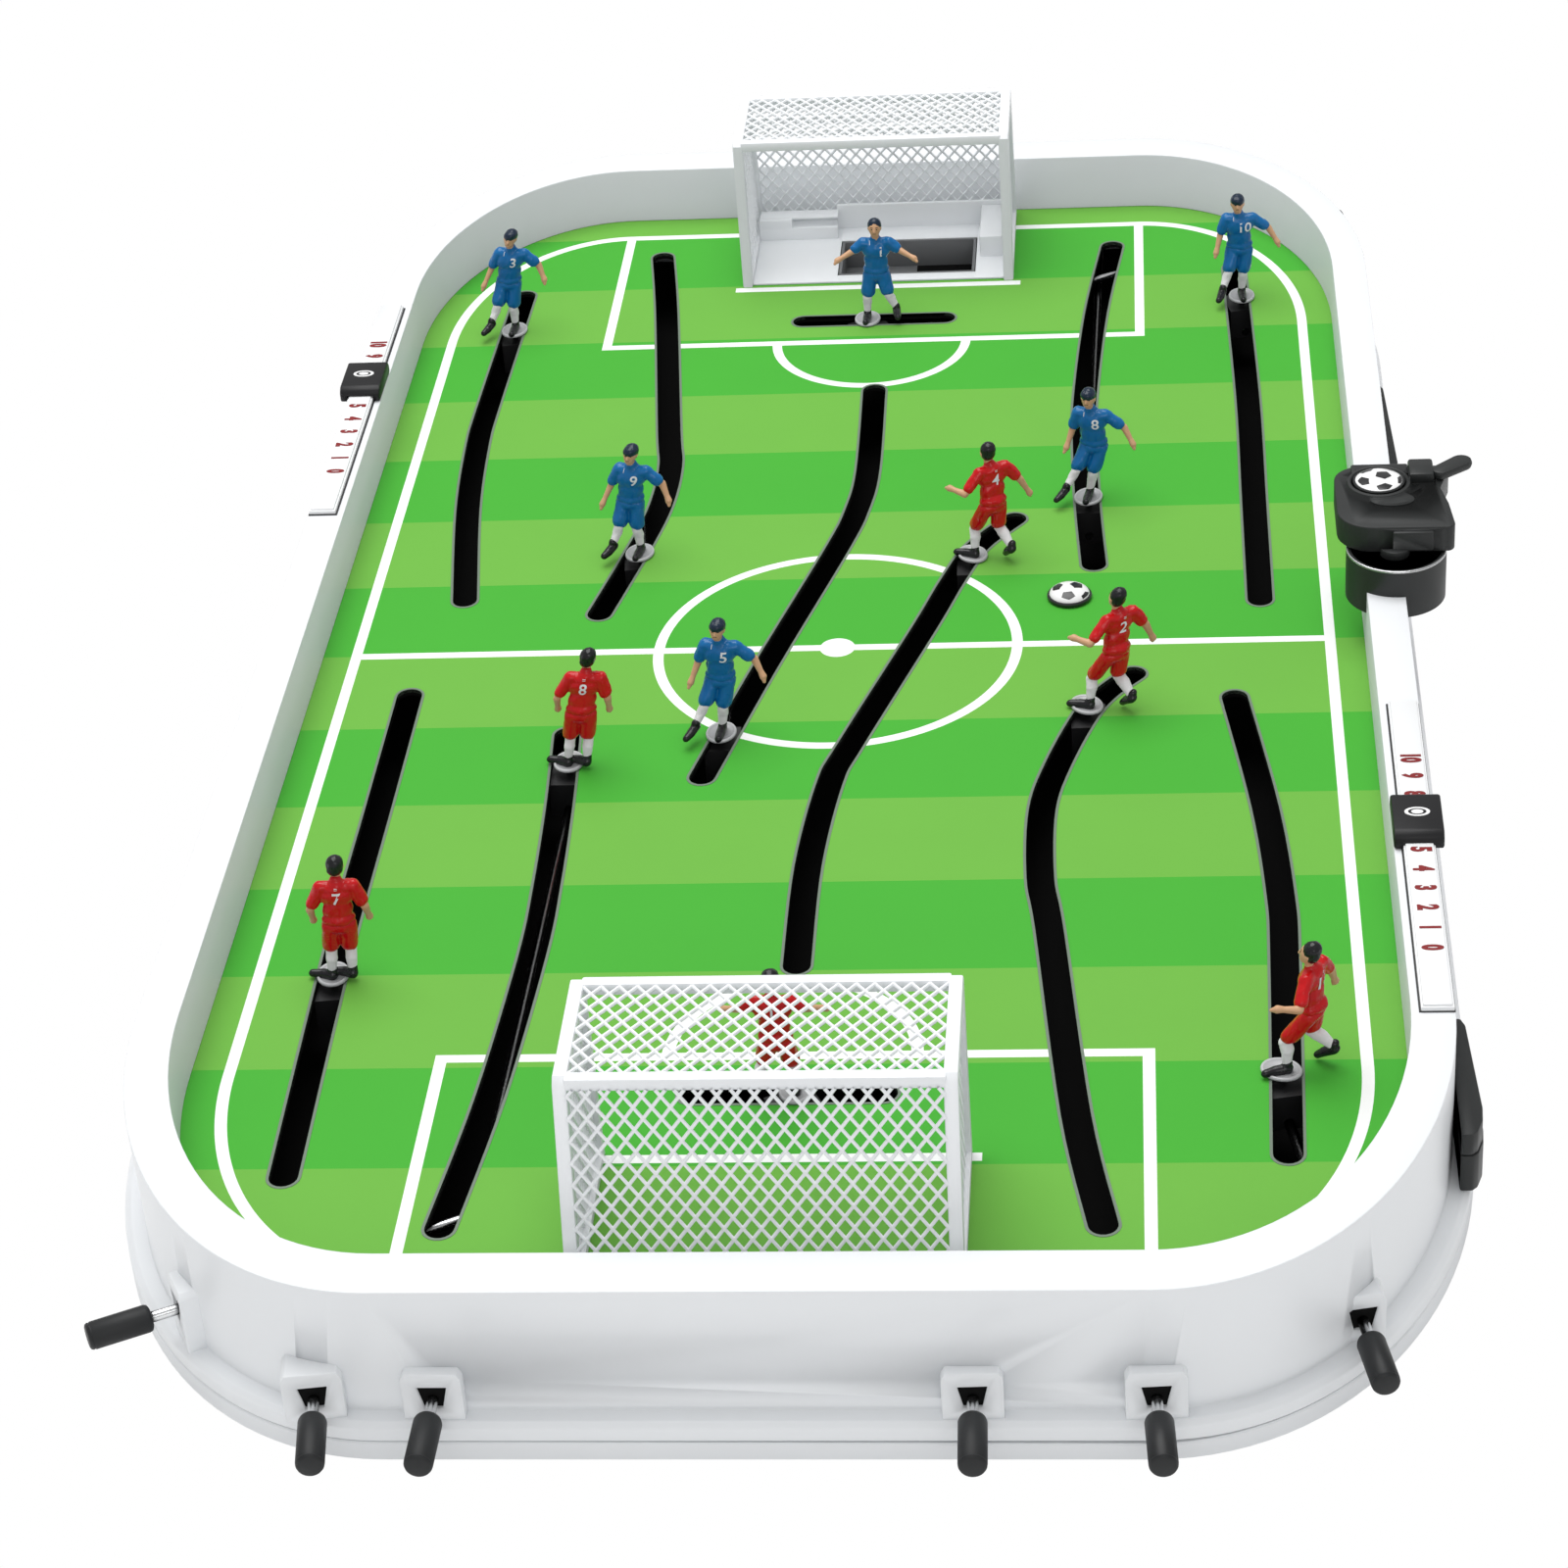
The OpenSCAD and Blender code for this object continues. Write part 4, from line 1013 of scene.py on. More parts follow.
def lettering(text, height, depth, bold=0.0):
    """Raised figures centred on the origin, height mm tall, in the plane of X and Y."""
    curve = bpy.data.curves.new("lettering", "FONT")
    curve.body = text
    curve.size = height / 0.72
    curve.extrude = depth / 2
    curve.offset = bold
    curve.align_x = "CENTER"
    curve.align_y = "CENTER"
    curve.resolution_u = 4
    carrier = bpy.data.objects.new("lettering", curve)
    bpy.context.scene.collection.objects.link(carrier)
    bpy.context.view_layer.update()
    shown = carrier.evaluated_get(bpy.context.evaluated_depsgraph_get())
    form = bmesh.new()
    form.from_mesh(shown.to_mesh())
    shown.to_mesh_clear()
    bpy.data.objects.remove(carrier)
    bpy.data.curves.remove(curve)
    bmesh.ops.remove_doubles(form, verts=form.verts, dist=0.001)
    return form


def add_score(side_name, turn, rail_y, slider_y, digits_y, node_name):
    rail = gathered([
        block((-SCORE_W / 2, -SCORE_L / 2, 0.02), (SCORE_W / 2, SCORE_L / 2, SCORE_T - 0.9), 0.35),
        block((-SCORE_W / 2 + 0.7, -SCORE_L / 2 + 0.7, 0.4),
              (SCORE_W / 2 - 0.7, SCORE_L / 2 - 0.7, SCORE_T), 0.5)])
    place = (Matrix.Rotation(turn, 4, "Z") @ Matrix.Translation((-RAIL_X, rail_y, RIM_Z)))
    rail.transform(place)
    # A thin black strip under the rail, a little larger than it, is painted shadow along the rail's
    # inner edge and near end.
    shadow_gap = block((-SCORE_W / 2 - 0.3, -SCORE_L / 2 - 0.6, 0.02),
                       (SCORE_W / 2 + 0.7, SCORE_L / 2 + 0.3, 0.5), 0.1)
    shadow_gap.transform(place)
    fit_piece(f"{side_name}_rail_painted_shadow", finish_form(shadow_gap, "rail_painted_shadow"), "body",
              [acetal_and_shadow_black])
    fit_piece(f"{side_name}_rail", finish_form(rail, "rail"), "body",
              [rail_white], ["score_rails"])
    digits = []
    for count in range(11):
        digit = lettering(str(count) if count < 10 else "10", 4.6, 0.3, 0.34)
        digit.transform(Matrix.Translation((place.translation.x, digits_y + 12.6 * count,
                                            RIM_Z + SCORE_T + 0.05))
                        @ Matrix.Rotation(-math.pi / 2, 4, "Z") @ Matrix.Diagonal((1, 1.6, 1, 1)))
        digits.append(digit)
    fit_piece(f"{side_name}_digits", finish_form(gathered(digits), "digits"), "body",
              [digit_red])
    half, top = SLIDER_L / 2, SLIDER_H
    outline_yz = [(-half, 0), (half, 0), (half, top - 3.2), (half - 1, top - 1.4),
                  (half - 3.2, top), (3.2 - half, top), (1 - half, top - 1.4), (-half, top - 3.2)]
    slider = prism(outline_yz, -SLIDER_W / 2, SLIDER_W / 2)
    softened(slider, 0.9, 2)
    slider_place = place @ Matrix.Translation((0, slider_y - rail_y, 0.3))
    slider.transform(slider_place @ Matrix.Rotation(math.pi / 2, 4, "Z"))
    piece = fit_piece(f"{side_name}_slider_block", finish_form(slider, "slider_block"),
                      node_name, [slider_black], [node_name])
    channel = SCORE_W / 2 + 0.3
    cut_from(piece, prism([(-channel, -1), (channel, -1), (channel, SCORE_T + 0.1),
                           (-channel, SCORE_T + 0.1)], -SLIDER_L, SLIDER_L), slider_place)
    ring = turned([(2.6, 0), (2.6, 0.25), (3.6, 0.25), (3.6, 0)], 32)
    disc = turned([(0, 0), (1.7, 0), (1.7, 0.25), (0, 0.25)], 24)
    mark = gathered([ring, disc])
    mark.transform(slider_place @ Matrix.Translation((0, 0, top - 0.02))
                   @ Matrix.Diagonal((1.35, 0.85, 1, 1)) @ Matrix.Rotation(-math.pi / 2, 4, "X"))
    fit_piece(f"{side_name}_slider_mark", finish_form(mark, "slider_mark"), node_name,
              [mark_white])


add_score("left", 0, 177, 197, 110, "left_score_slider")
add_score("right", math.pi, 202, 187, -269, "right_score_slider")

# ---- Ball dispenser --------------------------------------------------------------------
# A charcoal cup that straddles the rim at the halfway line with a bright ring at its mouth,
# under a hinged lid that carries a press button printed as a football and a thumb lever.
CUP_X = HALF_W + RIM_SIDE / 2 + 5
CUP_Y = 5
CUP_TOP = 88
CUP_R = 21
LID_Z = 89.2
LID_TOP = LID_Z + 12
BUTTON_AT = (-6, 29)
BUTTON_R = 11
BUTTON_Z = LID_TOP + 2.3
LEVER_AT = (20.5, 36)
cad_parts["dispenser_cup"].data.materials.clear()
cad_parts["dispenser_cup"].data.materials.append(charcoal_plastic)
cup_axes = Matrix.Translation((CUP_X, CUP_Y, 0))
ring_bright = bpy.data.materials.new("ring_bright")
ring_bright.use_nodes = True
ring_shader = ring_bright.node_tree.nodes["Principled BSDF"]
ring_shader.inputs["Metallic"].default_value = 0.9
ring_shader.inputs["Roughness"].default_value = 0.25
ring_noise = ring_bright.node_tree.nodes.new("ShaderNodeTexNoise")
ring_noise.inputs["Scale"].default_value = 60
link(ring_bright.node_tree, blend_colours(ring_bright.node_tree, ring_noise.outputs["Fac"],
                                          (0.62, 0.63, 0.64), (0.80, 0.81, 0.82)),
     ring_shader.inputs["Base Color"])
mouth_ring = turned([(CUP_R - 0.8, 0.2), (CUP_R - 0.8, -0.25), (CUP_R - 0.4, -0.4),
                     (CUP_R - 0.05, -0.25), (CUP_R + 0.05, 0.5)], 72)
mouth_ring.transform(cup_axes @ Matrix.Translation((0, 0, CUP_TOP)) @ STAND_UP)
fit_piece("cup_ring", finish_form(mouth_ring, "cup_ring", 60), "body", [ring_bright])
# The cup's inside is lined in black, painted as the shade down in the cup.
cup_lining = turned([(CUP_R - 1.9, 0), (CUP_R - 1.9, 9.9), (0, 9.9)], 64)
cup_lining.transform(cup_axes @ Matrix.Translation((0, 0, CUP_TOP - 0.1)) @ STAND_UP)
fit_piece("cup_inside", finish_form(cup_lining, "cup_inside"), "body",
          [painted_shade_black])


def arc(centre, radius, start, end, steps=8):
    return [(centre[0] + radius * math.cos(math.radians(start + (end - start) * k / steps)),
             centre[1] + radius * math.sin(math.radians(start + (end - start) * k / steps)))
            for k in range(steps + 1)]


lid_plan = (arc((-9.5, 9), 15, 180, 270) + arc((20.5, -3), 3.5, -75, 8, 4)
            + [(22.5, 14), (20, 27), (21, 31)] + arc((21, 43), 3.5, 0, 90, 4)
            + arc((-13, 35.5), 11.5, 90, 180))
lid_forms = [softened(slab(lid_plan, LID_Z, LID_TOP), 1.8, 3)]
lid_forms.append(block((-2, -8.2, LID_Z + 1.4), (15, -5, LID_TOP - 1.6), 0.7))
lid_forms.append(flat_plate("tab", arc((-1, -5), 6.5, 200, 340), [], LID_Z - 1.4, LID_Z + 2.6, 0.7))
lid_forms.append(block((7, 31, LID_TOP - 0.6), (17.5, 45, LID_TOP + 4.5), 1.2))
lid_forms.append(block((-17, 38, LID_TOP - 0.6), (7.2, 46.5, LID_TOP + 1.4), 0.9))
hub = turned([(BUTTON_R + 0.5, 0.5), (BUTTON_R + 0.5, -2.2), (BUTTON_R + 1.1, -2.8),
              (BUTTON_R + 2.2, -2.5), (BUTTON_R + 3.4, 0.5)], 56)
hub.transform(Matrix.Translation((*BUTTON_AT, LID_TOP)) @ STAND_UP)
lid_forms.append(hub)
lip = turned([(0, 1), (7.5, 1), (7.5, -0.8), (6.6, -1.5), (0, -1.5)], 40)
lip.transform(Matrix.Translation((-1, 16.5, LID_TOP)) @ Matrix.Diagonal((1.25, 0.75, 1, 1))
              @ STAND_UP)
lid_forms.append(lip)
lid = gathered(lid_forms)
lid.transform(cup_axes)
lid_piece = fit_piece("lid_shell", finish_form(lid, "lid_shell", 38), "dispenser_lid",
                      [charcoal_plastic], ["dispenser_lid"])
button_well = turned([(0, 3), (BUTTON_R + 0.4, 3), (BUTTON_R + 0.4, -4), (0, -4)], 56)
button_place = Matrix.Translation((CUP_X + BUTTON_AT[0], CUP_Y + BUTTON_AT[1], LID_TOP))
cut_from(lid_piece, button_well, button_place @ STAND_UP, True)
hinge_pin = turned([(0, 14), (1.2, 14), (1.2, -14), (0, -14)], 20)
hinge_pin.transform(Matrix.Translation((CUP_X, CUP_Y + 45, LID_Z - 0.2))
                    @ Matrix.Rotation(math.pi / 2, 4, "Z"))
fit_piece("hinge_pin", finish_form(hinge_pin, "hinge_pin"), "dispenser_lid", [steel])
lever = flat_plate("lever", arc((0, 0), 4, 90, 270) + arc((12, 0), 4.6, -90, 90), [],
                   LID_TOP + 0.3, LID_TOP + 4.3, 1.4)
lever.transform(cup_axes @ Matrix.Translation((*LEVER_AT, 0))
                @ Matrix.Rotation(math.radians(40), 4, "Z"))
fit_piece("thumb_lever", finish_form(lever, "thumb_lever", 40), "dispenser_lever",
          [charcoal_plastic], ["dispenser_lever"])

# ---- Football print, button and ball ---------------------------------------------------
# The button's cap and the flat playing ball are white domes with a football's black patches
# moulded a hair proud; the ball sits in a black rim so that it slides on the board.
PATCH_BLACK = (0.008, 0.008, 0.009)
ball_gloss = moulded("ball_gloss", (0.88, 0.88, 0.88), roughness=0.22, cloud=0.02, coat=0.3)
patch_black = moulded("patch_black", PATCH_BLACK, roughness=0.28, cloud=0.2, coat=0.2)


def football_patches(radius, height, z, turn):
    """Black patches of a football laid over a dome of a radius and height standing at z."""
    form = bmesh.new()
    ratio = (1 + math.sqrt(5)) / 2
    corners = [Vector(p).normalized() for a in (-1, 1) for b in (-ratio, ratio)
               for p in ((0, a, b), (a, b, 0), (b, 0, a))]

    def on_dome(direction):
        flat = Vector((direction.x, direction.y)) * radius * 0.97
        drop = math.sqrt(max(0, 1 - (flat.length / radius) ** 2))
        return form.verts.new((flat.x, flat.y, z + height * drop + 0.08))

    for corner in corners:
        middle = turn @ corner
        if middle.z < 0.12:
            continue
        close = sorted(corners, key=lambda c: (c - corner).length)[1:6]
        toward = [turn @ c for c in close]
        axis_u = (toward[0] - middle * toward[0].dot(middle)).normalized()
        axis_v = middle.cross(axis_u)
        ordered = sorted(toward, key=lambda t: math.atan2(t.dot(axis_v), t.dot(axis_u)))
        rim = [(middle * 0.64 + t * 0.36).normalized() for t in ordered]
        loop = []
        for a, b in zip(rim, rim[1:] + rim[:1]):
            loop += [a.lerp(b, k / 5).normalized() for k in range(5)]
        rings = [[on_dome(middle.lerp(p, r).normalized()) for p in loop] for r in (0.35, 0.7, 1)]
        hub_vert = on_dome(middle)
        for k in range(len(loop)):
            n = (k + 1) % len(loop)
            form.faces.new((hub_vert, rings[0][k], rings[0][n]))
            for low, high in zip(rings, rings[1:]):
                form.faces.new((low[k], high[k], high[n], low[n]))
    return form


def dome(radius, height, z, steps=10):
    """Turned dome profile as (radius, -z) pairs for turned(), from its edge up to its top."""
    return [(radius * math.cos(math.radians(90 * k / steps)),
             -z - height * math.sin(math.radians(90 * k / steps))) for k in range(steps + 1)]


def add_football(name, centre, radius, base_h, height, rim_material, body, node_name, turn):
    rim = turned([(0, 0), (radius - 0.7, 0), (radius, -0.7), (radius, -base_h + 0.5),
                  (radius - 0.5, -base_h), (radius - 1.4, -base_h)], 56)
    rim.transform(Matrix.Translation(centre) @ STAND_UP)
    fit_piece(f"{name}_rim", finish_form(rim, "rim"), body, [rim_material], [node_name])
    white = turned(dome(radius - 0.9, height, base_h - 0.4), 56)
    white.transform(Matrix.Translation(centre) @ STAND_UP)
    fit_piece(f"{name}_dome", finish_form(white, "dome", 60), body, [ball_gloss])
    patches = football_patches(radius - 0.9, height, base_h - 0.4, turn)
    patches.transform(Matrix.Translation(centre))
    fit_piece(f"{name}_patches", finish_form(patches, "patches", 60), body, [patch_black])


tilt = Matrix.Rotation(math.radians(24), 3, "X") @ Matrix.Rotation(math.radians(14), 3, "Y")
add_football("button", (CUP_X + BUTTON_AT[0], CUP_Y + BUTTON_AT[1], BUTTON_Z), BUTTON_R, 0.9, 2.1,
             charcoal_plastic, "dispenser_button", "dispenser_button", tilt)
button_stem = turned([(0, 6), (5, 6), (5, -0.5), (0, -0.5)], 32)
button_stem.transform(Matrix.Translation((CUP_X + BUTTON_AT[0], CUP_Y + BUTTON_AT[1], BUTTON_Z))
                      @ STAND_UP)
fit_piece("button_stem", finish_form(button_stem, "button_stem"), "dispenser_button",
          [charcoal_plastic])
add_football("ball", (99.5, 38, PITCH_Z), 9.75, 2.3, 3.9, patch_black, "ball",
             "ball", Matrix.Rotation(math.radians(-26), 3, "Y")
             @ Matrix.Rotation(math.radians(20), 3, "X") @ Matrix.Rotation(0.5, 3, "Z"))

# ---- Players ---------------------------------------------------------------------------
# Twelve moulded plastic men, painted by hand: glossy shirt and shorts, white socks, black boots.
# Each stands by one foot on an oval rimmed base whose peg goes down through the slot to a gear.
KITS = {"red": (0.55, 0.003, 0.006), "blue": (0.003, 0.135, 0.370)}
SKIN = (0.62, 0.36, 0.20)
SOCK_WHITE = (0.82, 0.82, 0.82)
BOOT_BLACK = (0.010, 0.010, 0.012)
HAIR = {"red": (0.008, 0.008, 0.010), "blue": (0.006, 0.018, 0.040)}
BASE_GREY = (0.50, 0.51, 0.52)
STANCES = {
    "stride": {"plant": 1, "pelvis": (-2, -4, 26), "chest": (1, -4, 38), "neck": (2, -3, 45.5),
               "head": (3, -2, 51), "free_foot": (-12, -11, 5), "free_toe": (4, -1, -5),
               "knees": ((3, 0, 13), (-3, -9, 14)), "elbows": ((-1, 10, 35), (-2, -17, 35)),
               "hands": ((6, 14, 36), (-3, -22, 27))},
    "stand": {"plant": 1, "pelvis": (-1, -3.5, 26), "chest": (0, -3.5, 38),
              "neck": (0.5, -3.5, 45.5),
              "head": (1.5, -3.5, 51), "free_foot": (-1, -8, 1), "free_toe": (1, 7, 0),
              "knees": ((0.5, 0, 13), (0.5, -7.5, 13)),
              "elbows": ((-1.5, 7, 33.5), (-1.5, -14, 33.5)),
              "hands": ((3, 6.5, 25.5), (3.5, -15, 25))},
    "kick": {"plant": 1, "pelvis": (-1, -3.5, 26), "chest": (0, -4, 38), "neck": (0.5, -4.5, 45.5),
             "head": (1.5, -5, 51), "free_foot": (8, -10, 4.5), "free_toe": (6.5, -2, -1.5),
             "knees": ((1, -0.5, 13), (4, -8, 15)), "elbows": ((-2, 10.5, 36), (0, -13, 34)),
             "hands": ((0, 15, 29), (4, -15, 26))},
    "keep": {"plant": -1, "pelvis": (-1, 5.5, 25), "chest": (0, 6, 37.5), "neck": (0.5, 6, 45),
             "head": (1.5, 6, 50.5), "free_foot": (1, 14.5, 3), "free_toe": (6, 1, -1),
             "knees": ((1, 11, 14), (1, 0.5, 13)), "elbows": ((1, 17.5, 38), (1, -5.5, 38)),
             "hands": ((5, 25, 35), (5, -13, 35))},
}
# Each player: heading in degrees, stance, number, how far his hips and his head stand off his base.
PLAYERS = {
    ("red", "left_wing"): (96, "stand", "7", 2, 3.5),
    ("red", "left_mid"): (88, "stand", "8", 4, 9),
    ("red", "centre"): (120, "stride", "4", 5, 7.5),
    ("red", "right_mid"): (125, "stride", "2", 7.5, 13),
    ("red", "right_wing"): (155, "stride", "11", 7, 11),
    ("red", "goalie"): (90, "keep", "1", 0, 0),
    ("blue", "left_wing"): (90, "kick", "10", 2.5, 3),
    ("blue", "left_mid"): (75, "kick", "8", 6, 6),
    ("blue", "centre"): (80, "kick", "5", 4.5, 7),
    ("blue", "right_mid"): (75, "kick", "9", 0.5, 5),
    ("blue", "right_wing"): (80, "kick", "3", 2.5, 8),
    ("blue", "goalie"): (90, "keep", "1", 0, 0),
}
PLANTED_TOES = {"stride": (5, 6.5, 0), "stand": (1, 8.5, 0), "kick": (8.4, 0.7, 0),
                "keep": (8, -0.7, 0)}
HEAD_SHARE = 0.87
FIGURE_Z = PITCH_Z + 0.3


def painted(name, colour, roughness=0.27, cloud=0.14):
    """Brush-painted plastic: uneven gloss and a slightly wavy coat."""
    return moulded(name, colour, roughness=roughness, cloud=cloud, grain_scale=320,
                   grain_depth=0.00012, coat=0.12, specular=0.3)


def orb(form, centre, radii, turn=None):
    matrix = Matrix.Translation(centre)
    if turn is not None:
        matrix = matrix @ turn
    bmesh.ops.create_icosphere(form, subdivisions=3, radius=1,
                               matrix=matrix @ Matrix.Diagonal((*radii, 1)))


def bar(form, a, b, ra, rb):
    """A tapered round-ended limb between two points."""
    a, b = Vector(a), Vector(b)
    run = b - a
    turn = run.to_track_quat("Z", "Y").to_matrix().to_4x4()
    bmesh.ops.create_cone(form, cap_ends=True, segments=20, radius1=ra, radius2=rb,
                          depth=run.length, matrix=Matrix.Translation((a + b) / 2) @ turn)
    orb(form, a, (ra, ra, ra))
    orb(form, b, (rb, rb, rb))


def skinned(form, cell=0.42, smooth=5):
    """Fuses overlapping solids into one smooth skin."""
    rough = bpy.data.meshes.new("rough")
    form.to_mesh(rough)
    form.free()
    carrier = bpy.data.objects.new("rough", rough)
    bpy.context.scene.collection.objects.link(carrier)
    fuse = carrier.modifiers.new("fuse", "REMESH")
    fuse.mode = "VOXEL"
    fuse.voxel_size = cell
    relax = carrier.modifiers.new("relax", "SMOOTH")
    relax.factor = 0.5
    relax.iterations = smooth
    bpy.context.view_layer.update()
    shown = carrier.evaluated_get(bpy.context.evaluated_depsgraph_get())
    result = bmesh.new()
    result.from_mesh(shown.to_mesh())
    shown.to_mesh_clear()
    bpy.data.objects.remove(carrier)
    bpy.data.meshes.remove(rough)
    return result


def creased(form, scale, depth, stretch=(1, 1, 1)):
    """Presses soft folds of cloth into a skin."""
    form.normal_update()
    for vert in form.verts:
        spot = Vector((vert.co.x * stretch[0], vert.co.y * stretch[1], vert.co.z * stretch[2]))
        fold = noise.noise(spot / scale) + 0.5 * noise.noise(spot * 2.1 / scale)
        vert.co += vert.normal * depth * fold
    return form


def build_man(team, stance):
    """The parts of a figure in its own axes (mm): a list of (material index, bmesh)."""
    s = {k: (tuple(Vector(p) for p in v) if isinstance(v[0], tuple) else Vector(v))
         for k, v in STANCES[stance].items() if k != "plant"}
    plant = STANCES[stance]["plant"]
    lead = s["hands"][0] + s["elbows"][0] - s["hands"][1] - s["elbows"][1]
    across = Vector((lead.x * 0.12, abs(lead.y), 0)).normalized()
    shoulders = [s["chest"] + across * side * 6.3 + Vector((0, 0, 4.4)) for side in (1, -1)]
    hips = [s["pelvis"] + across * side * 3.2 + Vector((0, 0, -1)) for side in (1, -1)]
    planted = Vector((0, 0, 0))
    feet = [planted, s["free_foot"]] if plant == 1 else [s["free_foot"], planted]
    planted_toe = Vector(PLANTED_TOES[stance])
    toes = [planted_toe, s["free_toe"]] if plant == 1 else [s["free_toe"], planted_toe]
    shirt = bmesh.new()
    chest_turn = Matrix.Rotation(math.atan2(-across.x, across.y), 4, "Z")
    orb(shirt, s["chest"] + Vector((0, 0, 1)), (4.4, 7.2, 5.6), chest_turn)
    orb(shirt, s["chest"] + Vector((-0.4, 0, 4)), (3.5, 6.6, 2.9), chest_turn)
    orb(shirt, s["chest"].lerp(s["pelvis"], 0.45), (4.1, 6.1, 6.4), chest_turn)
    orb(shirt, s["pelvis"] + Vector((0, 0, 2.4)), (4.5, 6.5, 3.4), chest_turn)
    bar(shirt, s["chest"] + Vector((-0.3, 0, 4.5)), s["neck"] + Vector((-0.2, 0, -0.4)), 3.6, 2.5)
    for side in (0, 1):
        bar(shirt, s["chest"] + Vector((0, 0, 3.4)), shoulders[side], 3.2, 2.9)
        bar(shirt, shoulders[side], shoulders[side].lerp(s["elbows"][side], 0.72), 2.9, 2.55)
    shirt = creased(skinned(shirt), 3.4, 0.42, (1, 1, 0.6))
    shorts = bmesh.new()
    orb(shorts, s["pelvis"] + Vector((0, 0, -0.4)), (4.5, 6.6, 3.6), chest_turn)
    for side in (0, 1):
        knee = s["knees"][side]
        bar(shorts, hips[side], hips[side].lerp(knee, 0.74), 3.7, 3.5)
    shorts = creased(skinned(shorts), 3.2, 0.4, (1, 1, 0.5))
    socks = bmesh.new()
    boots = bmesh.new()
    for side in (0, 1):
        knee, foot, toe = s["knees"][side], feet[side], toes[side]
        ankle = foot + Vector((-0.8, 0, 3.2))
        calf = knee.lerp(ankle, 0.35) + Vector((-0.9, 0, 0))
        bar(socks, hips[side].lerp(knee, 0.6), knee, 2.6, 2.3)
        bar(socks, knee, calf, 2.25, 2.35)
        bar(socks, calf, ankle, 2.3, 1.55)
        bar(boots, foot + Vector((-1.6, 0, 2)), foot + toe * 0.45 + Vector((0, 0, 1.8)), 2.1, 2.0)
        bar(boots, foot + toe * 0.4 + Vector((0, 0, 1.7)), foot + toe * 0.92 + Vector((0, 0, 2.0)),
            2.0, 1.6)
        bar(boots, foot + Vector((-1.2, 0, 2)), ankle + Vector((0, 0, 0.9)), 2.1, 1.9)
    socks = creased(skinned(socks, 0.36, 3), 2.4, 0.16)
    boots = skinned(boots, 0.36, 3)
    skin = bmesh.new()
    head = s["head"]
    shrink = (Matrix.Translation(head) @ Matrix.Scale(HEAD_SHARE, 4)
              @ Matrix.Translation(-head))
    orb(skin, head, (4.0, 3.5, 4.7))
    orb(skin, head + Vector((0.9, 0, -2.4)), (3.0, 2.6, 2.6))
    bar(skin, head + Vector((3.7, 0, 0.7)), head + Vector((4.4, 0, -0.9)), 0.45, 0.7)
    for side in (1, -1):
        orb(skin, head + Vector((-0.3, side * 3.5, -0.3)), (0.9, 0.5, 1.3))
    skin.transform(shrink)
    bar(skin, s["neck"] + Vector((0, 0, -2)), head + Vector((-0.4, 0, -2)), 2.0, 1.8)
    for side in (0, 1):
        shoulder, elbow, hand = shoulders[side], s["elbows"][side], s["hands"][side]
        bar(skin, shoulder.lerp(elbow, 0.5), elbow, 1.9, 1.65)
        wrist = elbow.lerp(hand, 0.78)
        bar(skin, elbow, wrist, 1.65, 1.15)
        bar(skin, wrist, hand, 1.3, 1.55)
        bar(skin, hand, hand + (hand - wrist).normalized() * 1.4 + Vector((0.6, 0, -0.6)), 1.3, 0.8)
    skin = skinned(skin, 0.34, 3)
    hair = bmesh.new()
    orb(hair, head + Vector((-0.9, 0, 1.5)), (4.1, 3.95, 4.1))
    orb(hair, head + Vector((-1.7, 0, -0.6)), (3.1, 3.65, 3.6))
    if team == "blue" and stance != "keep":
        orb(hair, head + Vector((0.4, 0, 2.2)), (4.2, 3.8, 3.0))
    hair.transform(shrink)
    hair = creased(skinned(hair, 0.34, 2), 1.1, 0.16, (1, 1, 0.4))
    eyes = bmesh.new()
    for side in (1, -1):
        orb(eyes, head + Vector((3.45, side * 1.35, 0.55)), (0.45, 0.5, 0.32))
        bar(eyes, head + Vector((3.55, side * 0.75, 1.45)), head + Vector((3.15, side * 2.0, 1.5)),
            0.18, 0.15)
    bar(eyes, head + Vector((3.75, -0.8, -2.2)), head + Vector((3.75, 0.8, -2.2)), 0.14, 0.14)
    eyes.transform(shrink)
    base = turned([(0, 0), (7.0, 0), (7.9, -0.3), (8, -0.9), (7.7, -1.5), (7.1, -1.6),
                   (6.6, -1.3), (6.3, -0.9), (0, -0.8)], 48)
    base.transform(Matrix.Translation((0.8, 0, 0)) @ Matrix.Diagonal((0.98, 0.8, 1, 1)) @ STAND_UP)
    gear_d, rod_z = (GOALIE_GEAR_D, GOALIE_ROD_Z) if stance == "keep" else (GEAR_D, ROD_Z)
    crown_z = rod_z + gear_d / 2 + 0.2 - FIGURE_Z
    peg = turned([(0, -crown_z), (1.4, -crown_z), (1.4, -0.4), (0, -0.4)], 24)
    peg.transform(STAND_UP)
    crown = gear_wheel(gear_d / 2 + 1.8, gear_d / 2 + 1.0, 1.6, 18)
    crown.transform(Matrix.Translation((0, 0, crown_z)) @ STAND_UP)
    return [(0, shirt), (0, shorts), (1, socks), (2, boots), (3, skin), (4, hair), (2, eyes),
            (5, base), (2, peg), (2, crown)], shirt


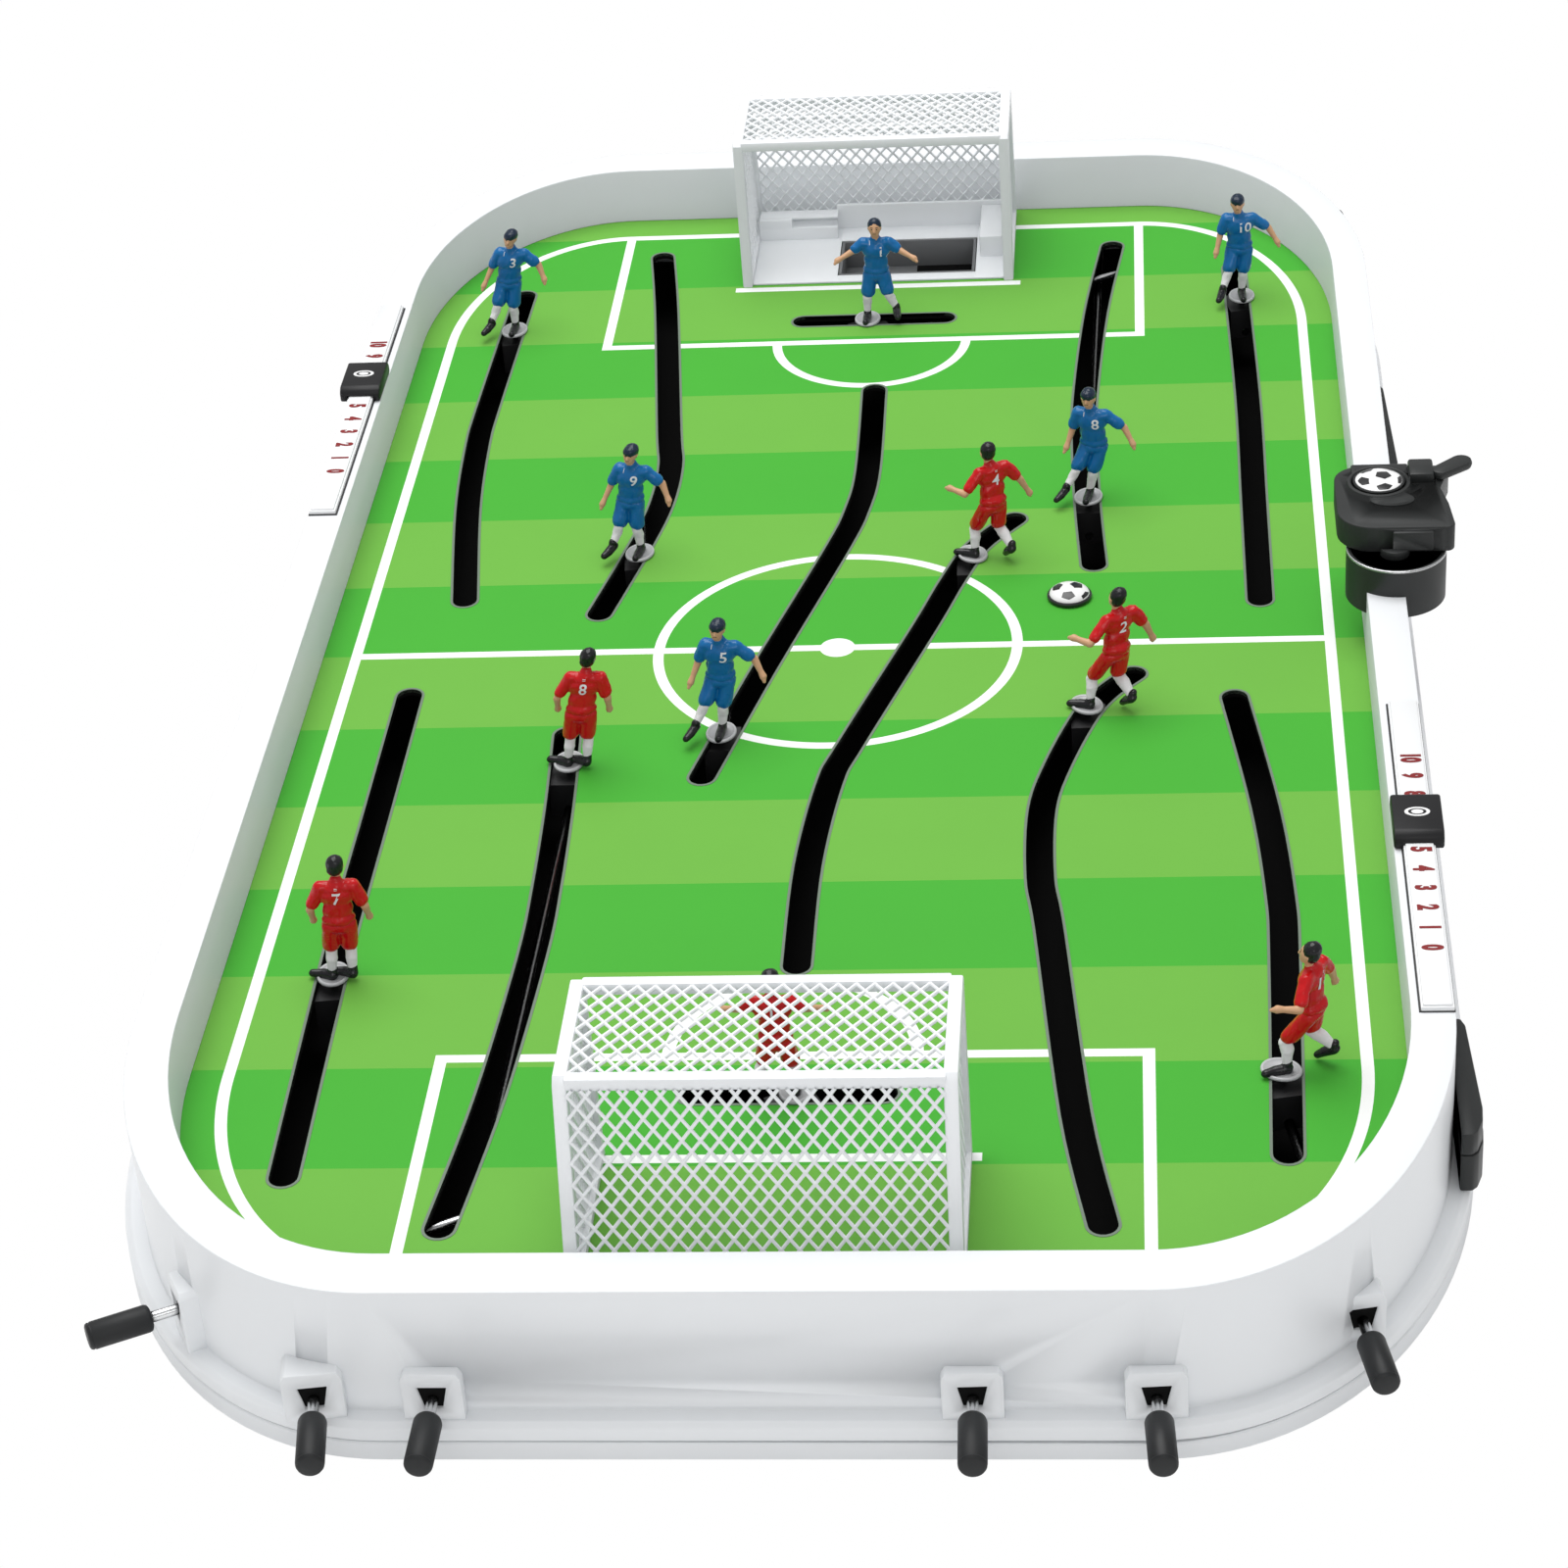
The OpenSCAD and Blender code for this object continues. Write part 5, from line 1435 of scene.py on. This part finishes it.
def number_on(shirt_mesh, text, front, chest):
    """White figures laid on the shirt's front or back."""
    tree = BVHTree.FromBMesh(shirt_mesh)
    sign = 1 if front else -1
    marks = [(lettering(text, 5.0, 0.0, 0.1), (2.6 if front else 0, 0.8)),
             (lettering("=" if not front else "1", 1.9, 0.0), (-2.8 if front else 0, 5.2))]
    whole = bmesh.new()
    for form, (side, up) in marks:
        bmesh.ops.triangulate(form, faces=form.faces)
        bmesh.ops.subdivide_edges(form, edges=form.edges, cuts=1, use_grid_fill=True)
        for vert in list(form.verts):
            y = chest.y + sign * (vert.co.x + side)
            z = chest.z + vert.co.y + up
            hit = tree.ray_cast(Vector((chest.x + sign * 20, y, z)), Vector((-sign, 0, 0)))[0]
            vert.co = (hit + Vector((sign * 0.14, 0, 0))) if hit else Vector(
                (chest.x + sign * 4, y, z))
        part = bpy.data.meshes.new("part")
        form.to_mesh(part)
        form.free()
        whole.from_mesh(part)
        bpy.data.meshes.remove(part)
    return whole


def lean(height, hip_shift, head_shift):
    """How far sideways a man's body stands off his base at a height, in mm."""
    return (hip_shift * min(1, max(0, (height - 2) / 24))
            + (head_shift - hip_shift) * max(0, (height - 26) / 25))


figure_finish = {
    team: [painted(f"{team}_kit_paint", KITS[team]),
           painted("sock_paint", SOCK_WHITE, 0.4, 0.08), painted("boot_paint", BOOT_BLACK, 0.25),
           painted("skin_paint", SKIN, 0.42, 0.12), painted(f"{team}_hair_paint", HAIR[team], 0.3),
           moulded("base_grey", BASE_GREY, roughness=0.35)]
    for team in KITS}
number_paint = painted("number_paint", (0.80, 0.82, 0.84), 0.4, 0.1)
men = {}
for (team, role), (heading, stance, number, hip_shift, head_shift) in PLAYERS.items():
    if (team, stance) not in men:
        parts, shirt = build_man(team, stance)
        whole = bmesh.new()
        shirt_copy = shirt.copy()
        for index, form in parts:
            for face in form.faces:
                face.material_index = index
            part = bpy.data.meshes.new("part")
            form.to_mesh(part)
            form.free()
            whole.from_mesh(part)
            bpy.data.meshes.remove(part)
        mesh = finish_form(whole, f"{team}_{stance}_man", 70)
        for material in figure_finish[team]:
            mesh.materials.append(material)
        men[team, stance] = (mesh, shirt_copy)
    mesh, shirt = men[team, stance]
    peg_x, peg_y = PEGS[team][role]
    place = (Matrix.Rotation(math.pi if team == "blue" else 0, 4, "Z")
             @ Matrix.Translation((peg_x, peg_y, FIGURE_Z))
             @ Matrix.Rotation(math.radians(heading), 4, "Z"))
    to_metres = Matrix.Scale(MM, 4) @ place @ Matrix.Scale(1 / MM, 4)
    man_mesh = mesh.copy()
    man_mesh.transform(to_metres)
    for vert in man_mesh.vertices:
        vert.co.x += MM * lean(vert.co.z / MM - FIGURE_Z, hip_shift, head_shift)
    body_name = f"{team}_{role}_figure"
    fit_piece(f"{team}_{role}_man", man_mesh, body_name, [], [body_name])
    label = number_on(shirt, number, team == "blue", Vector(STANCES[stance]["chest"]))
    label.transform(place)
    for vert in label.verts:
        vert.co.x += lean(vert.co.z - FIGURE_Z, hip_shift, head_shift)
    fit_piece(f"{team}_{role}_number", finish_form(label, "number", 60), body_name,
              [number_paint])

# ---- Camera, light and floor -----------------------------------------------------------
# A plain white sweep under a large softbox, seen from above the near end of the game.
camera = bpy.data.objects.new("camera", bpy.data.cameras.new("camera"))
bpy.context.scene.collection.objects.link(camera)
camera.data.sensor_width = 36
camera.data.lens = 89.75
camera.location = (0.13524, -1.43335, 0.92542)
camera.rotation_euler = [math.radians(a) for a in (56.5939, 3.7663, 4.0076)]
bpy.context.scene.camera = camera

floor_form = slab([(-12000, -12000), (12000, -12000), (12000, 12000), (-12000, 12000)], -1.0, -0.02)
floor_piece = bpy.data.objects.new("floor", finish_form(floor_form, "floor"))
bpy.context.scene.collection.objects.link(floor_piece)
sweep_white = bpy.data.materials.new("sweep_white")
sweep_white.use_nodes = True
sweep_tree = sweep_white.node_tree
sweep_tree.nodes["Principled BSDF"].inputs["Base Color"].default_value = (0.9, 0.9, 0.9, 1)
sweep_tree.nodes["Principled BSDF"].inputs["Roughness"].default_value = 0.9
sweep_tree.nodes["Principled BSDF"].inputs["Specular IOR Level"].default_value = 0.0
glow = sweep_tree.nodes.new("ShaderNodeEmission")
glow.inputs["Strength"].default_value = 1.0
seen = sweep_tree.nodes.new("ShaderNodeLightPath")
choose = sweep_tree.nodes.new("ShaderNodeMixShader")
link(sweep_tree, seen.outputs["Is Camera Ray"], choose.inputs[0])
link(sweep_tree, sweep_tree.nodes["Principled BSDF"].outputs[0], choose.inputs[1])
link(sweep_tree, glow.outputs[0], choose.inputs[2])
link(sweep_tree, choose.outputs[0], sweep_tree.nodes["Material Output"].inputs["Surface"])
floor_piece.data.materials.append(sweep_white)


def softbox(name, place, aim, size, power):
    lamp = bpy.data.lights.new(name, "AREA")
    lamp.shape = "RECTANGLE"
    lamp.size, lamp.size_y = size
    lamp.energy = power
    holder = bpy.data.objects.new(name, lamp)
    bpy.context.scene.collection.objects.link(holder)
    holder.location = place
    holder.rotation_euler = (Vector(aim) - Vector(place)).to_track_quat("-Z", "Y").to_euler()


softbox("softbox_above", (-0.3, 0.4, 2.3), (0, 0, 0), (1.8, 2.0), 49)
softbox("softbox_front", (0.3, -2.6, 1.5), (0, 0, 0), (1.8, 0.9), 11)
world = bpy.data.worlds.new("studio")
bpy.context.scene.world = world
world.use_nodes = True
world.node_tree.nodes["Background"].inputs["Color"].default_value = (1, 1, 1, 1)
world.node_tree.nodes["Background"].inputs["Strength"].default_value = 0.5

bpy.context.scene.view_settings.view_transform = "Standard"
